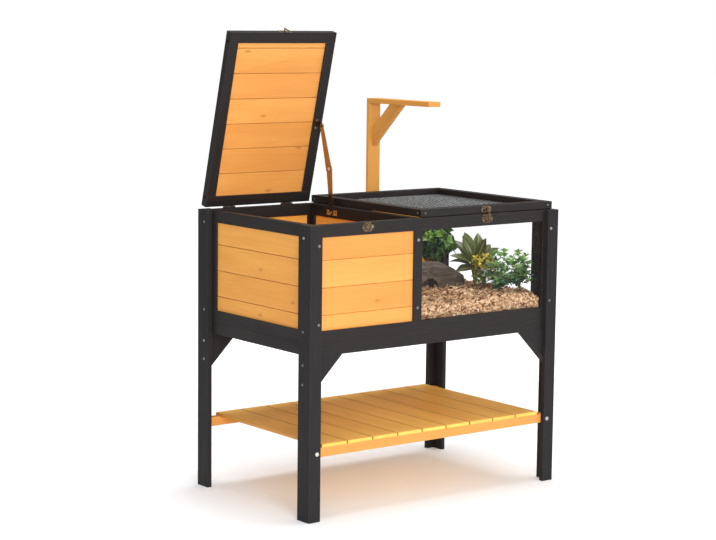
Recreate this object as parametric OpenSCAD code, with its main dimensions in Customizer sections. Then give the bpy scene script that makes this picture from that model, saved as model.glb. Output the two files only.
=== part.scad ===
// Reptile terrarium on legs: a timber cabinet with a closed hide bay and a
// glazed living bay, two hinged lids, a slatted shelf below and a lamp holder.
// Millimetres, +Z up. All pieces are drawn from the cabinet's front-left foot
// corner and then moved so that the origin is the centre of the base.

/* [Overall] */
// Width over the outsides of the legs
overall_w = 920; // [800:5:1100]
// Depth over the outsides of the legs
overall_d = 565; // [500:5:680]
// Height of the legs, level with the cabinet's top
overall_h = 830; // [760:5:900]

/* [Legs] */
// Thickness of each leg board
leg_t = 14; // [12:1:18]
// Width of the leg boards that face front and back
leg_face_w = 40; // [34:1:46]
// Width of the leg boards that face left and right
leg_side_w = 55; // [48:1:64]
// Length of a corner gusset's straight edges
gusset_leg = 108; // [80:2:130]
// Thickness of a corner gusset
gusset_t = 28; // [18:1:36]

/* [Cabinet walls] */
// Thickness of the wall frames
wall_t = 22; // [20:1:28]
// Height of the walls' top rails
top_rail_h = 35; // [30:1:42]
// Height of the walls' bottom rails
bottom_rail_h = 34; // [28:1:42]
// Height of the openings between the rails
opening_h = 260; // [220:5:280]
// Height of the apron boards under the walls
apron_h = 36; // [30:1:44]
// Width of the end stiles in the front and back walls
front_stile_w = 36; // [30:1:42]
// Width of the stiles in the side walls
side_stile_w = 41; // [34:1:48]
// Width of the centre stiles in the front and back walls
centre_stile_w = 30; // [26:1:36]
// Width of the hide bay's opening in the front wall
hide_bay_w = 325; // [280:5:340]

/* [Boarding and windows] */
// Face width of one tongue and groove board
board_w = 76.5; // [60:0.5:90]
// Thickness of the boards
board_t = 10; // [8:0.5:11]
// Setback of the boards from the frame's face
board_setback = 6; // [4:0.5:7]
// Depth of the groove that holds boards and windows
groove_depth = 6; // [4:0.5:8]
// Length of a board's tongue
tongue_l = 4; // [3:0.5:5]
// Chamfer along a board's long edges
board_chamfer = 1.6; // [1:0.1:2.4]
// Thickness of the clear windows
window_t = 3; // [2:0.5:4]
// Gap between two neighbouring boards
board_gap = 0.2; // [0.1:0.05:0.5]
// Clearance on each side of a board or window in its groove
groove_gap = 0.25; // [0.1:0.05:0.4]

/* [Floor and divider] */
// Thickness of the floor panel
floor_t = 8; // [6:1:12]
// Side of the square battens under the floor
batten = 20; // [16:1:24]
// Thickness of the divider between the bays
divider_t = 22; // [20:1:26]
// Offset of the divider's middle from the centre stile's middle
divider_offset = 6; // [4:1:8]
// Width of the divider's stiles
divider_stile_w = 20; // [16:1:24]
// Width of the doorway in the divider
doorway_w = 150; // [120:5:180]
// Height of the doorway above the divider's bottom rail
doorway_h = 165; // [130:5:190]

/* [Shelf] */
// Height of the shelf's top
shelf_top = 216; // [150:2:300]
// Thickness of a slat
slat_t = 9; // [8:1:14]
// Width of a slat
slat_w = 87; // [60:1:89]
// Gap between two slats
slat_gap = 3.4; // [2:0.2:4]
// Number of slats
slat_count = 9; // [7:1:9]
// Height of the shelf's rails
shelf_rail_h = 27; // [22:1:36]
// Thickness of the shelf's rails
shelf_rail_t = 22; // [18:1:28]

/* [Lids] */
// Thickness of both lids
lid_t = 22; // [20:1:28]
// Width of the lid frames' members
lid_frame_w = 32; // [28:1:40]
// Distance of the solid lid's edge from the left legs' outsides
left_lid_inset = 18; // [4:1:22]
// Distance of the mesh lid's edge from the right legs' outsides
mesh_lid_inset = 9; // [4:1:22]
// Gap between the two lids
lid_split_gap = 6; // [3:0.5:7]
// Distance of the gap's middle past the centre stile's middle
lid_split_offset = 10; // [6:1:12]
// Setback of the lids' front edges behind the front wall's face
lid_setback = 6; // [2:0.5:7]
// Gap between the cabinet's top and a closed lid
lid_rest_gap = 1.5; // [1:0.1:2]
// Angle of the solid lid from closed, held up by its stay
lid_open = 75.5; // [70:0.1:76]
// Distance of the first board joint from the lid's hinge edge
lid_first_joint = 23.5; // [12:0.5:26]
// Spacing of the mesh wires
mesh_pitch = 13; // [12:0.5:25]
// Diameter of the mesh wires
wire_d = 1.6; // [1:0.1:2]
// Height of the mesh above the lid's underside
mesh_lift = 1.5; // [1:0.1:3]

/* [Hinges] */
// Width of a butt hinge
hinge_w = 40; // [30:1:50]
// Height of a hinge leaf from the pin
leaf_h = 17; // [14:1:20]
// Thickness of a hinge leaf
leaf_t = 1.2; // [1:0.1:1.6]
// Outer radius of the hinge knuckles
knuckle_r = 2.8; // [2.4:0.1:3.4]
// Radius of the hinge pins
pin_r = 1.5; // [1.2:0.1:1.8]
// Radial clearance round a pin
pin_gap = 0.05; // [0.02:0.01:0.09]
// Gap between neighbouring knuckles, and behind them
knuckle_gap = 0.3; // [0.2:0.05:0.5]
// Distance of each hinge's middle from the lid's side
hinge_inset = 85; // [60:5:110]

/* [Lid stay] */
// Length of each stay link between its pivots
link_len = 131.8; // [131.6:0.1:136]
// Distance of the lid pivot from the hinge pin, along the lid
stay_lid_s = 251; // [249:0.5:251]
// Drop of the lid pivot below the hinge pin, lid closed
stay_lid_drop = 21; // [20:0.5:22]
// Distance of the base pivot in front of the hinge pin
stay_base_s = 133.6; // [133:0.2:134.6]
// Drop of the base pivot below the hinge pin
stay_base_drop = 19.75; // [19:0.25:20.5]
// Thickness of a link
link_t = 1.5; // [1.2:0.1:1.8]
// Gap between a link and its neighbours
link_gap = 0.3; // [0.3:0.05:0.4]
// Half width of a link at its elbow end
link_wide_r = 14; // [10:0.5:15]
// Half width of a link at its bracket end
link_narrow_r = 8; // [6:0.5:8.5]
// Radius of the stay's pivot pins
stay_pin_r = 2; // [1.5:0.1:2.5]
// Thickness of the stay's bracket plates
bracket_t = 1.2; // [1:0.1:1.5]
// Length of the stay's base bracket
bracket_l = 50; // [40:1:56]
// Height of the stay's base bracket
bracket_h = 16; // [14:1:18]
// Length of the stay's lid bracket
lid_bracket_l = 36; // [32:1:44]
// Width of the stay's lid bracket
lid_bracket_w = 14; // [12:1:16]

/* [Latches] */
// Width of a latch plate
latch_w = 40; // [36:1:48]
// Height of the latch plate on a lid
latch_plate_h = 17; // [15:1:18]
// Height of the keeper plate on the front rail
keeper_h = 25; // [23:1:26]
// Thickness of the latch plates
latch_t = 1.2; // [1:0.1:1.5]
// Thickness of a latch hook
hook_t = 1.8; // [1.5:0.1:2.2]
// Distance from a hook's pivot to its mouth
hook_reach = 30; // [29:0.5:31]
// Radius of a keeper's pin
keeper_pin_r = 2; // [1.5:0.1:2.2]
// Radius of a latch's pivot pin
latch_pin_r = 1.8; // [1.5:0.1:2.2]
// Turn of a hook from hanging to hooked
hook_turn = 22; // [20:1:24]
// Distance of the mesh lid's latch from the right legs' outsides
mesh_latch_inset = 272; // [250:2:320]

/* [Lamp holder] */
// Distance of the lamp post from the left legs' outsides
lamp_x = 636; // [600:2:680]
// Width of the post and arm
lamp_w = 46; // [40:1:52]
// Thickness of the post
lamp_t = 12; // [10:1:15]
// Thickness of the arm
lamp_arm_t = 15; // [12:1:16]
// Height of the arm's top above the floor
lamp_top = 1144; // [1100:2:1200]
// Length of the arm from its front end to the post's back
lamp_arm_l = 305; // [280:5:310]
// Thickness of the spacers behind the back wall
spacer_t = 18; // [18:0.5:24]
// Height of a spacer
spacer_h = 40; // [30:1:50]
// Length of the post below the cabinet's top
post_tail = 220; // [180:5:300]
// Drop of the brace below the arm
brace_drop = 136; // [120:1:160]
// Reach of the brace in front of the post
brace_reach = 146; // [130:1:170]
// Width of the brace board
brace_w = 42; // [34:1:48]
// Thickness of the brace board
brace_t = 16; // [14:1:20]

/* [Screws] */
// Radius of the pan head screws
screw_r = 4.2; // [3.5:0.1:5]
// Height of the pan head screws
screw_h = 2; // [1.6:0.1:2.6]
// Radius of the small hardware screws
small_screw_r = 2.8; // [2.4:0.1:3.2]
// Height of the small screws that stand proud
small_screw_h = 1.1; // [0.9:0.1:1.3]
// Radius of the shelf bolts' heads
bolt_r = 6; // [5:0.5:7]
// Height of the shelf bolts' heads
bolt_h = 3; // [2:0.5:4]

/* [Furnishings] */
// Height of the bedding above the floor panel
bedding_h = 76; // [50:1:90]
// Clearance between the bedding and the walls
bedding_gap = 0.5; // [0.3:0.1:1]
// Width of the rock hide
rock_w = 222; // [200:2:230]
// Depth of the rock hide
rock_d = 120; // [110:5:130]
// Height of the rock hide
rock_h = 84; // [70:2:90]
// Radius of the rock hide's tunnel
rock_mouth_r = 36; // [28:1:40]
// Distance of the rock hide's left end from the right wall
rock_inset = 309; // [300:1:330]
// Distance of the rock hide from the front wall
rock_behind = 194; // [180:2:200]
// Radius of the leafy plant's crown
leafy_r = 66; // [50:1:70]
// Height of the leafy plant's crown above the bedding
leafy_z = 133; // [110:1:140]
// Distance of the leafy plant from the right wall
leafy_inset = 144; // [130:1:160]
// Distance of the leafy plant from the front wall
leafy_behind = 326; // [322:1:360]
// Radius of the croton plant's crown
croton_r = 54; // [44:1:60]
// Height of the croton plant's crown above the bedding
croton_z = 114; // [108:1:124]
// Distance of the croton plant from the right wall
croton_inset = 75; // [66:1:78]
// Distance of the croton plant from the front wall
croton_behind = 214; // [190:1:220]
// Radius of the small-leaf plants' crowns
small_leaf_r = 40; // [30:1:42]
// Height of the crown of the small-leaf plant in the corner above the bedding
corner_leaf_z = 86; // [60:1:100]
// Height of the other small-leaf plant's crown above the bedding
small_leaf_z = 98; // [60:1:110]
// Gap between the small-leaf plants, and beside them
small_leaf_gap = 2; // [1:0.1:3]
// Distance of the small-leaf plants from the front wall
small_leaf_behind = 46; // [44:1:50]
// Radius of a plant's foot
plant_foot_r = 16; // [12:1:18]
// Thickness of a plant's foot
plant_foot_h = 4; // [3:0.5:6]
// Radius of a plant's stem
plant_stem_r = 5; // [4:0.5:7]

/* [Hidden] */

$fn = 48;
cut = 1;                    // how far a cutting solid runs past a face

// Paint and timber colours
black_paint = [0.24, 0.23, 0.22];
pine = [0.95, 0.70, 0.38];
steel = [0.80, 0.80, 0.78];
bronze = [0.55, 0.42, 0.26];

// The cabinet's walls
wall_front = leg_t;
wall_back = overall_d - leg_t;
wall_left = leg_t;
wall_right = overall_w - leg_t;
front_wall_l = wall_right - wall_left;
side_wall_l = wall_back - wall_front - 2 * wall_t;
opening_top = overall_h - top_rail_h;
opening_bottom = opening_top - opening_h;
wall_z = opening_bottom - bottom_rail_h;
apron_z = wall_z - apron_h;
inner_front = wall_front + wall_t;
inner_back = wall_back - wall_t;
inner_left = wall_left + wall_t;
inner_right = wall_right - wall_t;

// The stiles, from the left end of the front wall
centre_stile_x = front_stile_w + hide_bay_w;
living_bay_x = centre_stile_x + centre_stile_w;
right_stile_x = front_wall_l - front_stile_w;
centre_x = wall_left + centre_stile_x + centre_stile_w / 2;
divider_left = centre_x + divider_offset - divider_t / 2;
divider_right = divider_left + divider_t;
infill_reach = groove_depth - groove_gap;

// The lids and their shared hinge line
hinge_y = wall_back + knuckle_gap + knuckle_r;
hinge_z = overall_h + lid_rest_gap / 2;
lid_z = overall_h + lid_rest_gap;
lid_front = wall_front + lid_setback;
lid_l = wall_back - lid_front;
split_x = centre_x + lid_split_offset;
left_lid_x = left_lid_inset;
left_lid_w = split_x - lid_split_gap / 2 - left_lid_x;
mesh_lid_x = split_x + lid_split_gap / 2;
mesh_lid_w = overall_w - mesh_lid_inset - mesh_lid_x;

// The lamp holder
post_front = wall_back + spacer_t;
post_back = post_front + lamp_t;
arm_z = lamp_top - lamp_arm_t;
arm_front = post_back - lamp_arm_l;

// The origin is the middle of the whole object's box, at the floor
open_edge_y = hinge_y - (hinge_y - wall_back) * cos(lid_open)
    + (lid_z + lid_t - hinge_z) * sin(lid_open);
origin = [overall_w / 2, (max(open_edge_y, post_back + screw_h, overall_d + bolt_h)
    - max(bolt_h, screw_h)) / 2, 0];

// The stay's pivots in the YZ plane: lid open, base, and the elbow between them
lid_pivot = [
    hinge_y - stay_lid_s * cos(lid_open) - stay_lid_drop * sin(lid_open),
    hinge_z + stay_lid_s * sin(lid_open) - stay_lid_drop * cos(lid_open)];
base_pivot = [hinge_y - stay_base_s, hinge_z - stay_base_drop];
stay_span = norm(lid_pivot - base_pivot);
stay_dir = (lid_pivot - base_pivot) / stay_span;
elbow_off = sqrt(max(link_len * link_len - stay_span * stay_span / 4, 0));
elbow = (lid_pivot + base_pivot) / 2 + elbow_off * [-stay_dir[1], stay_dir[0]];
lower_link_x = divider_left - bracket_t - link_gap - link_t;
upper_link_x = lower_link_x - link_gap - link_t;

// The latches
left_latch_x = left_lid_x + left_lid_w / 2;
mesh_latch_x = overall_w - mesh_latch_inset;
latch_pivot_z = lid_z + lid_t / 2;
hook_front = wall_front - latch_t - link_gap - hook_t;
pivot_shift = 6;            // sideways shift of a hook's pivot on its plate
hook_gap = 0.5;             // clearance round a keeper's pin in a hook's mouth
hook_lip = 4;               // thickness of a hook's lip
lip_rise = 0.6;             // rise of the lip's tip over its inside
hook_mouth_x = latch_pin_r + 0.7 + hook_gap + keeper_pin_r;
mouth_radius = norm([hook_mouth_x, hook_reach]);
pin_angle = atan(hook_mouth_x / hook_reach) + hook_turn;
keeper_pin_dx = -mouth_radius * sin(pin_angle);
keeper_pin_dz = -mouth_radius * cos(pin_angle);
keeper_z = overall_h - keeper_h / 2 - lid_rest_gap;

// The furnishings stand on the bedding
bedding_top = wall_z + bedding_h;

module placed() {
    translate(-origin) children();
}

// Moves what is drawn on the closed solid lid to the open lid
module on_open_lid() {
    translate([0, hinge_y, hinge_z]) rotate([-lid_open, 0, 0])
        translate([0, -hinge_y, -hinge_z]) children();
}

// ---- Timber members ----------------------------------------------------

// A frame member along X, with its face at y = 0 and its width along Z.
// The grooves hold an infill of the given thickness behind the setback.
module rail(length, width, thick, infill, setback, low = false, high = false) {
    difference() {
        cube([length, thick, width]);
        if (low)
            translate([-cut, setback - groove_gap, -cut])
                cube([length + 2 * cut, infill + 2 * groove_gap, groove_depth + cut]);
        if (high)
            translate([-cut, setback - groove_gap, width - groove_depth])
                cube([length + 2 * cut, infill + 2 * groove_gap, groove_depth + cut]);
    }
}

// A frame member along Z, with its face at y = 0 and its width along X
module stile(width, height, thick, infill, setback, left = false, right = false) {
    translate([width, 0, 0]) rotate([0, -90, 0])
        rail(height, width, thick, infill, setback, right, left);
}

// The section of one board: thickness along X and width along Y
module board_section() {
    top = board_w - board_gap;
    third = board_t / 3;
    slack = groove_gap / 2;
    polygon([
        [0, board_chamfer], [board_chamfer, 0],
        [third - slack, 0], [third - slack, tongue_l + groove_gap],
        [2 * third + slack, tongue_l + groove_gap], [2 * third + slack, 0],
        [board_t - board_chamfer, 0], [board_t, board_chamfer],
        [board_t, top - board_chamfer], [board_t - board_chamfer, top],
        [2 * third, top], [2 * third, top + tongue_l],
        [third, top + tongue_l], [third, top],
        [board_chamfer, top], [0, top - board_chamfer]]);
}

// Boards along X that fill the height from low to high, joints counted from z = 0
module boarding(length, low, high) {
    for (i = [floor(low / board_w) : ceil(high / board_w) - 1])
        intersection() {
            translate([0, 0, i * board_w]) rotate([90, 0, 90])
                linear_extrude(length) board_section();
            translate([-cut, -cut, low])
                cube([length + 2 * cut, board_t + 2 * cut, high - low]);
        }
}

// A rigid pane in the grooves round an opening
module pane(x0, x1, z0, z1, thick) {
    translate([x0 - infill_reach, board_setback, z0 - infill_reach])
        cube([x1 - x0 + 2 * infill_reach, thick, z1 - z0 + 2 * infill_reach]);
}

// Boards in the grooves round an opening, joints counted from the wall's foot
module board_infill(x0, x1, z0, z1) {
    translate([x0 - infill_reach, board_setback, 0])
        boarding(x1 - x0 + 2 * infill_reach, z0 - infill_reach, z1 + infill_reach);
}

// ---- Where the four walls stand ------------------------------------------
// Each wall is drawn along X with its outer face at y = 0 and its foot at z = 0.

module at_front_wall() {
    translate([wall_left, wall_front, wall_z]) children();
}
module at_back_wall() {
    translate([wall_right, wall_back, wall_z]) rotate([0, 0, 180]) children();
}
module at_left_wall() {
    translate([wall_left, inner_back, wall_z]) rotate([0, 0, -90]) children();
}
module at_right_wall() {
    translate([wall_right, inner_front, wall_z]) rotate([0, 0, 90]) children();
}
module at_divider() {
    translate([divider_right, inner_front, wall_z]) rotate([0, 0, 90]) children();
}

module wall_rails(length, infill) {
    rail(length, bottom_rail_h, wall_t, infill, board_setback, high = true);
    translate([0, 0, bottom_rail_h + opening_h])
        rail(length, top_rail_h, wall_t, infill, board_setback, low = true);
}

module side_stiles(infill) {
    translate([0, 0, bottom_rail_h])
        stile(side_stile_w, opening_h, wall_t, infill, board_setback, right = true);
    translate([side_wall_l - side_stile_w, 0, bottom_rail_h])
        stile(side_stile_w, opening_h, wall_t, infill, board_setback, left = true);
}

// The long walls' stiles, with the hide bay at the low end of X
module long_wall_stiles(infill) {
    translate([0, 0, bottom_rail_h])
        stile(front_stile_w, opening_h, wall_t, board_t, board_setback, right = true);
    translate([centre_stile_x, 0, bottom_rail_h])
        difference() {
            stile(centre_stile_w, opening_h, wall_t, board_t, board_setback, left = true);
            translate([centre_stile_w - groove_depth, board_setback - groove_gap, -cut])
                cube([groove_depth + cut, infill + 2 * groove_gap, opening_h + 2 * cut]);
        }
    translate([right_stile_x, 0, bottom_rail_h])
        stile(front_stile_w, opening_h, wall_t, infill, board_setback, left = true);
}

// The front wall's rails take boards on one side of the centre and a window on the other
module front_rail_pair() {
    difference() {
        wall_rails(front_wall_l, window_t);
        translate([-cut, board_setback - groove_gap, bottom_rail_h - groove_depth])
            cube([centre_stile_x + centre_stile_w / 2 + cut, board_t + 2 * groove_gap,
                opening_h + 2 * groove_depth]);
    }
}

// ---- Legs --------------------------------------------------------------

// Repeats a front-left piece at the right and at the back
module at_right() {
    translate([overall_w, 0, 0]) mirror([1, 0, 0]) children();
}
module at_back() {
    translate([0, overall_d, 0]) mirror([0, 1, 0]) children();
}

module at_corners() {
    children();
    at_right() children();
    at_back() children();
    at_right() at_back() children();
}

// The leg boards that face front and back, and the ones behind them at the sides
module leg_face_boards() color(black_paint) placed() at_corners()
    cube([leg_face_w, leg_t, overall_h]);
module leg_side_boards() color(black_paint) placed() at_corners()
    translate([0, leg_t, 0]) cube([leg_t, leg_side_w - leg_t, overall_h]);

// A triangular gusset under the apron, against the leg's two boards
module gusset() {
    translate([leg_t, leg_t + gusset_t, apron_z]) rotate([90, 0, 0])
        linear_extrude(gusset_t) polygon([[0, 0], [gusset_leg, 0], [0, -gusset_leg]]);
}

module leg_gussets() color(black_paint) placed() at_corners() gusset();

// ---- Walls -------------------------------------------------------------

module front_rails() color(black_paint) placed() at_front_wall() front_rail_pair();
module front_stiles() color(black_paint) placed() at_front_wall() long_wall_stiles(window_t);
module front_planks() color(pine) placed() at_front_wall()
    board_infill(front_stile_w, centre_stile_x, bottom_rail_h, bottom_rail_h + opening_h);
module front_window() color([0.9, 0.95, 1, 0.25]) placed() at_front_wall()
    pane(living_bay_x, right_stile_x, bottom_rail_h, bottom_rail_h + opening_h, window_t);

module left_rails() color(black_paint) placed() at_left_wall()
    wall_rails(side_wall_l, board_t);
module left_stiles() color(black_paint) placed() at_left_wall() side_stiles(board_t);
module left_planks() color(pine) placed() at_left_wall()
    board_infill(side_stile_w, side_wall_l - side_stile_w,
        bottom_rail_h, bottom_rail_h + opening_h);

module right_rails() color(black_paint) placed() at_right_wall()
    wall_rails(side_wall_l, window_t);
module right_stiles() color(black_paint) placed() at_right_wall() side_stiles(window_t);
module right_window() color([0.9, 0.95, 1, 0.25]) placed() at_right_wall()
    pane(side_stile_w, side_wall_l - side_stile_w,
        bottom_rail_h, bottom_rail_h + opening_h, window_t);

module back_rails() color(black_paint) placed() at_back_wall()
    wall_rails(front_wall_l, board_t);
module back_stiles() color(black_paint) placed() at_back_wall()
    translate([front_wall_l, 0, 0]) mirror([1, 0, 0]) long_wall_stiles(board_t);
module back_planks() color(pine) placed() at_back_wall()
    translate([front_wall_l, 0, 0]) mirror([1, 0, 0]) {
        board_infill(front_stile_w, centre_stile_x, bottom_rail_h, bottom_rail_h + opening_h);
        board_infill(living_bay_x, right_stile_x, bottom_rail_h, bottom_rail_h + opening_h);
    }

// ---- Apron and floor -----------------------------------------------------

module long_apron() {
    cube([front_wall_l, wall_t, apron_h]);
}
module apron_front() color(black_paint) placed()
    translate([wall_left, wall_front, apron_z]) long_apron();
module apron_back() color(black_paint) placed()
    translate([wall_left, inner_back, apron_z]) long_apron();
module apron_sides() color(black_paint) placed()
    for (x = [wall_left, inner_right])
        translate([x, inner_front, apron_z]) cube([wall_t, side_wall_l, apron_h]);

module floor_panel() color([0.78, 0.62, 0.42]) placed()
    translate([inner_left, inner_front, wall_z - floor_t])
        cube([inner_right - inner_left, side_wall_l, floor_t]);

module floor_battens() color(pine) placed()
    for (x = [inner_left, (inner_left + inner_right - batten) / 2, inner_right - batten])
        translate([x, inner_front, wall_z - floor_t - batten])
            cube([batten, side_wall_l, batten]);

// ---- Divider between the bays --------------------------------------------

jamb_x = divider_stile_w + doorway_w;
header_z = bottom_rail_h + doorway_h;

// The top and bottom rails, and the doorway's header between two stiles
module divider_rails() color(black_paint) placed() at_divider() {
    wall_rails(side_wall_l, board_t);
    translate([divider_stile_w, 0, header_z])
        rail(doorway_w, divider_stile_w, divider_t, board_t, board_setback, high = true);
}

module divider_stiles() color(black_paint) placed() at_divider()
    for (x = [0, jamb_x, side_wall_l - divider_stile_w])
        translate([x, 0, bottom_rail_h])
            stile(divider_stile_w, opening_h, divider_t, board_t, board_setback,
                left = x > 0, right = x <= jamb_x);

module divider_planks() color(pine) placed() at_divider() {
    board_infill(jamb_x + divider_stile_w, side_wall_l - divider_stile_w,
        bottom_rail_h, bottom_rail_h + opening_h);
    board_infill(divider_stile_w, jamb_x, header_z + divider_stile_w,
        bottom_rail_h + opening_h);
}

// ---- Shelf ---------------------------------------------------------------

slats_w = slat_count * slat_w + (slat_count - 1) * slat_gap;
shelf_rail_z = shelf_top - slat_t - shelf_rail_h;

module shelf_rails() color(pine) placed()
    for (y = [wall_front, wall_back - shelf_rail_t])
        translate([wall_left, y, shelf_rail_z])
            cube([front_wall_l, shelf_rail_t, shelf_rail_h]);

module shelf_slats() color(pine) placed()
    for (i = [0 : slat_count - 1])
        translate([(overall_w - slats_w) / 2 + i * (slat_w + slat_gap), wall_front,
            shelf_top - slat_t])
            cube([slat_w, wall_back - wall_front, slat_t]);

// ---- Lamp holder ---------------------------------------------------------

lamp_post_z = overall_h - post_tail;

module lamp_spacers() color(pine) placed()
    for (z = [lamp_post_z, overall_h - spacer_h - lid_rest_gap])
        translate([lamp_x, wall_back, z]) cube([lamp_w, spacer_t, spacer_h]);

module lamp_post() color(pine) placed()
    translate([lamp_x, post_front, lamp_post_z]) cube([lamp_w, lamp_t, arm_z - lamp_post_z]);

module lamp_arm() color(pine) placed()
    translate([lamp_x, arm_front, arm_z]) cube([lamp_w, lamp_arm_l, lamp_arm_t]);

// A sloping board cut flush against the post and the arm
module lamp_brace() color(pine) placed() {
    inner = 1 - brace_w * norm([brace_reach, brace_drop]) / (brace_reach * brace_drop);
    translate([lamp_x + (lamp_w - brace_t) / 2, post_front, arm_z]) rotate([90, 0, 90])
        linear_extrude(brace_t) polygon([
            [0, -brace_drop], [-brace_reach, 0],
            [-brace_reach * inner, 0], [0, -brace_drop * inner]]);
}

// ---- Lids ------------------------------------------------------------------
// Each lid is drawn closed, from its hinge edge forwards.

module at_lid(x) {
    translate([x, wall_back, lid_z]) rotate([90, 0, 0]) children();
}

module lid_rails(width, infill, setback) {
    rail(width, lid_frame_w, lid_t, infill, setback, high = true);
    translate([0, 0, lid_l - lid_frame_w])
        rail(width, lid_frame_w, lid_t, infill, setback, low = true);
}

module lid_stiles(width, infill, setback) {
    height = lid_l - 2 * lid_frame_w;
    translate([0, 0, lid_frame_w])
        stile(lid_frame_w, height, lid_t, infill, setback, right = true);
    translate([width - lid_frame_w, 0, lid_frame_w])
        stile(lid_frame_w, height, lid_t, infill, setback, left = true);
}

module left_lid_rails() color(black_paint) placed() on_open_lid() at_lid(left_lid_x)
    lid_rails(left_lid_w, board_t, board_setback);
module left_lid_stiles() color(black_paint) placed() on_open_lid() at_lid(left_lid_x)
    lid_stiles(left_lid_w, board_t, board_setback);
module left_lid_planks() color(pine) placed() on_open_lid() at_lid(left_lid_x)
    translate([lid_frame_w - infill_reach, board_setback, lid_first_joint])
        boarding(left_lid_w - 2 * lid_frame_w + 2 * infill_reach,
            lid_frame_w - infill_reach - lid_first_joint,
            lid_l - lid_frame_w + infill_reach - lid_first_joint);

module mesh_lid_rails() color(black_paint) placed() at_lid(mesh_lid_x)
    lid_rails(mesh_lid_w, 2 * wire_d, mesh_lift);
module mesh_lid_stiles() color(black_paint) placed() at_lid(mesh_lid_x)
    lid_stiles(mesh_lid_w, 2 * wire_d, mesh_lift);

// Two layers of straight wires, welded where they cross
module wire_mesh() color(steel) placed() {
    in_w = mesh_lid_w - 2 * lid_frame_w;
    in_l = lid_l - 2 * lid_frame_w;
    lowest = lid_z + mesh_lift + wire_d / 2;
    across = floor(in_w / mesh_pitch);
    along = floor(in_l / mesh_pitch);
    for (i = [0 : across])
        translate([mesh_lid_x + (mesh_lid_w - across * mesh_pitch) / 2 + i * mesh_pitch,
            lid_front + lid_frame_w - infill_reach, lowest])
            rotate([-90, 0, 0]) cylinder(h = in_l + 2 * infill_reach, d = wire_d, $fn = 16);
    for (i = [0 : along])
        translate([mesh_lid_x + lid_frame_w - infill_reach,
            lid_front + (lid_l - along * mesh_pitch) / 2 + i * mesh_pitch, lowest + wire_d])
            rotate([0, 90, 0]) cylinder(h = in_w + 2 * infill_reach, d = wire_d, $fn = 16);
}

// ---- Hinges ----------------------------------------------------------------

knuckle_l = (hinge_w - 4 * knuckle_gap) / 5;
left_hinge_xs = [left_lid_x + hinge_inset, left_lid_x + left_lid_w - hinge_inset];
mesh_hinge_xs = [mesh_lid_x + hinge_inset, mesh_lid_x + mesh_lid_w - hinge_inset];

// One leaf with the knuckles in the list, hanging down from the pin at the origin
module hinge_leaf(knuckles) {
    difference() {
        union() {
            translate([-hinge_w / 2, -knuckle_r - knuckle_gap, -leaf_h])
                cube([hinge_w, leaf_t, leaf_h - knuckle_r - knuckle_gap]);
            for (i = knuckles)
                translate([-hinge_w / 2 + i * (knuckle_l + knuckle_gap), 0, 0]) {
                    rotate([0, 90, 0]) cylinder(h = knuckle_l, r = knuckle_r);
                    translate([0, -knuckle_r - knuckle_gap, -knuckle_r - knuckle_gap - cut])
                        cube([knuckle_l, leaf_t, knuckle_r + knuckle_gap + cut]);
                }
        }
        translate([-hinge_w / 2 - cut, 0, 0]) rotate([0, 90, 0])
            cylinder(h = hinge_w + 2 * cut, r = pin_r + pin_gap);
    }
}

module lid_hinge_leaves(xs) {
    for (x = xs)
        translate([x, hinge_y, hinge_z]) mirror([0, 0, 1]) hinge_leaf([1, 3]);
}

module cabinet_hinge_leaves() color(bronze) placed()
    for (x = concat(left_hinge_xs, mesh_hinge_xs))
        translate([x, hinge_y, hinge_z]) hinge_leaf([0, 2, 4]);

module hinge_pins() color(bronze) placed()
    for (x = concat(left_hinge_xs, mesh_hinge_xs))
        translate([x - hinge_w / 2, hinge_y, hinge_z]) rotate([0, 90, 0]) {
            cylinder(h = hinge_w, r = pin_r);
            for (end = [-1, hinge_w]) translate([0, 0, end]) cylinder(h = 1, r = knuckle_r);
        }

module left_lid_hinge_leaves() color(bronze) placed() on_open_lid()
    lid_hinge_leaves(left_hinge_xs);
module mesh_lid_hinge_leaves() color(bronze) placed() lid_hinge_leaves(mesh_hinge_xs);

// ---- Lid stay --------------------------------------------------------------

// A pivot pin along -X from a plate, through one link, with a head outside it
module stay_pin() {
    rotate([0, -90, 0]) {
        cylinder(h = link_t + 2 * link_gap + cut, r = stay_pin_r);
        translate([0, 0, link_t + 2 * link_gap]) cylinder(h = cut, r = 2 * stay_pin_r);
    }
}

// A hole for a flush screw in a plate of the given thickness, and that screw
module screw_hole(thick) {
    translate([0, 0, -cut]) cylinder(h = thick + 2 * cut, r = small_screw_r + pin_gap);
}
module flush_screw(thick) {
    cylinder(h = thick, r = small_screw_r);
}

// Where the stay's base bracket is screwed on, pointing out of the divider
module at_base_screws() {
    for (side = [-1, 1])
        translate([divider_left, base_pivot[0] + side * (bracket_l / 2 - small_screw_r - 3),
            base_pivot[1] + link_narrow_r - bracket_h / 2])
            rotate([0, -90, 0]) children();
}

// A tapered link along +Y from its bracket end, on the YZ plane, with a rivet
// head on the elbow's outer face
module stay_link(rivet_side) {
    rotate([90, 0, 90]) difference() {
        union() {
            linear_extrude(link_t) polygon([
                [0, -link_narrow_r], [link_len, -link_wide_r],
                [link_len, link_wide_r], [0, link_narrow_r]]);
            cylinder(h = link_t, r = link_narrow_r);
            translate([link_len, 0, 0]) cylinder(h = link_t, r = link_wide_r);
            translate([link_len, 0, rivet_side < 0 ? -cut : link_t])
                cylinder(h = cut, r = 2 * stay_pin_r);
        }
        translate([0, 0, -cut]) cylinder(h = link_t + 2 * cut, r = stay_pin_r + pin_gap);
    }
}

module stay_base_bracket() color(bronze) placed() difference() {
    translate([divider_left - bracket_t, base_pivot[0], base_pivot[1]]) {
        translate([0, -bracket_l / 2, -bracket_h + link_narrow_r])
            cube([bracket_t, bracket_l, bracket_h]);
        stay_pin();
    }
    at_base_screws() screw_hole(bracket_t);
}

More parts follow.
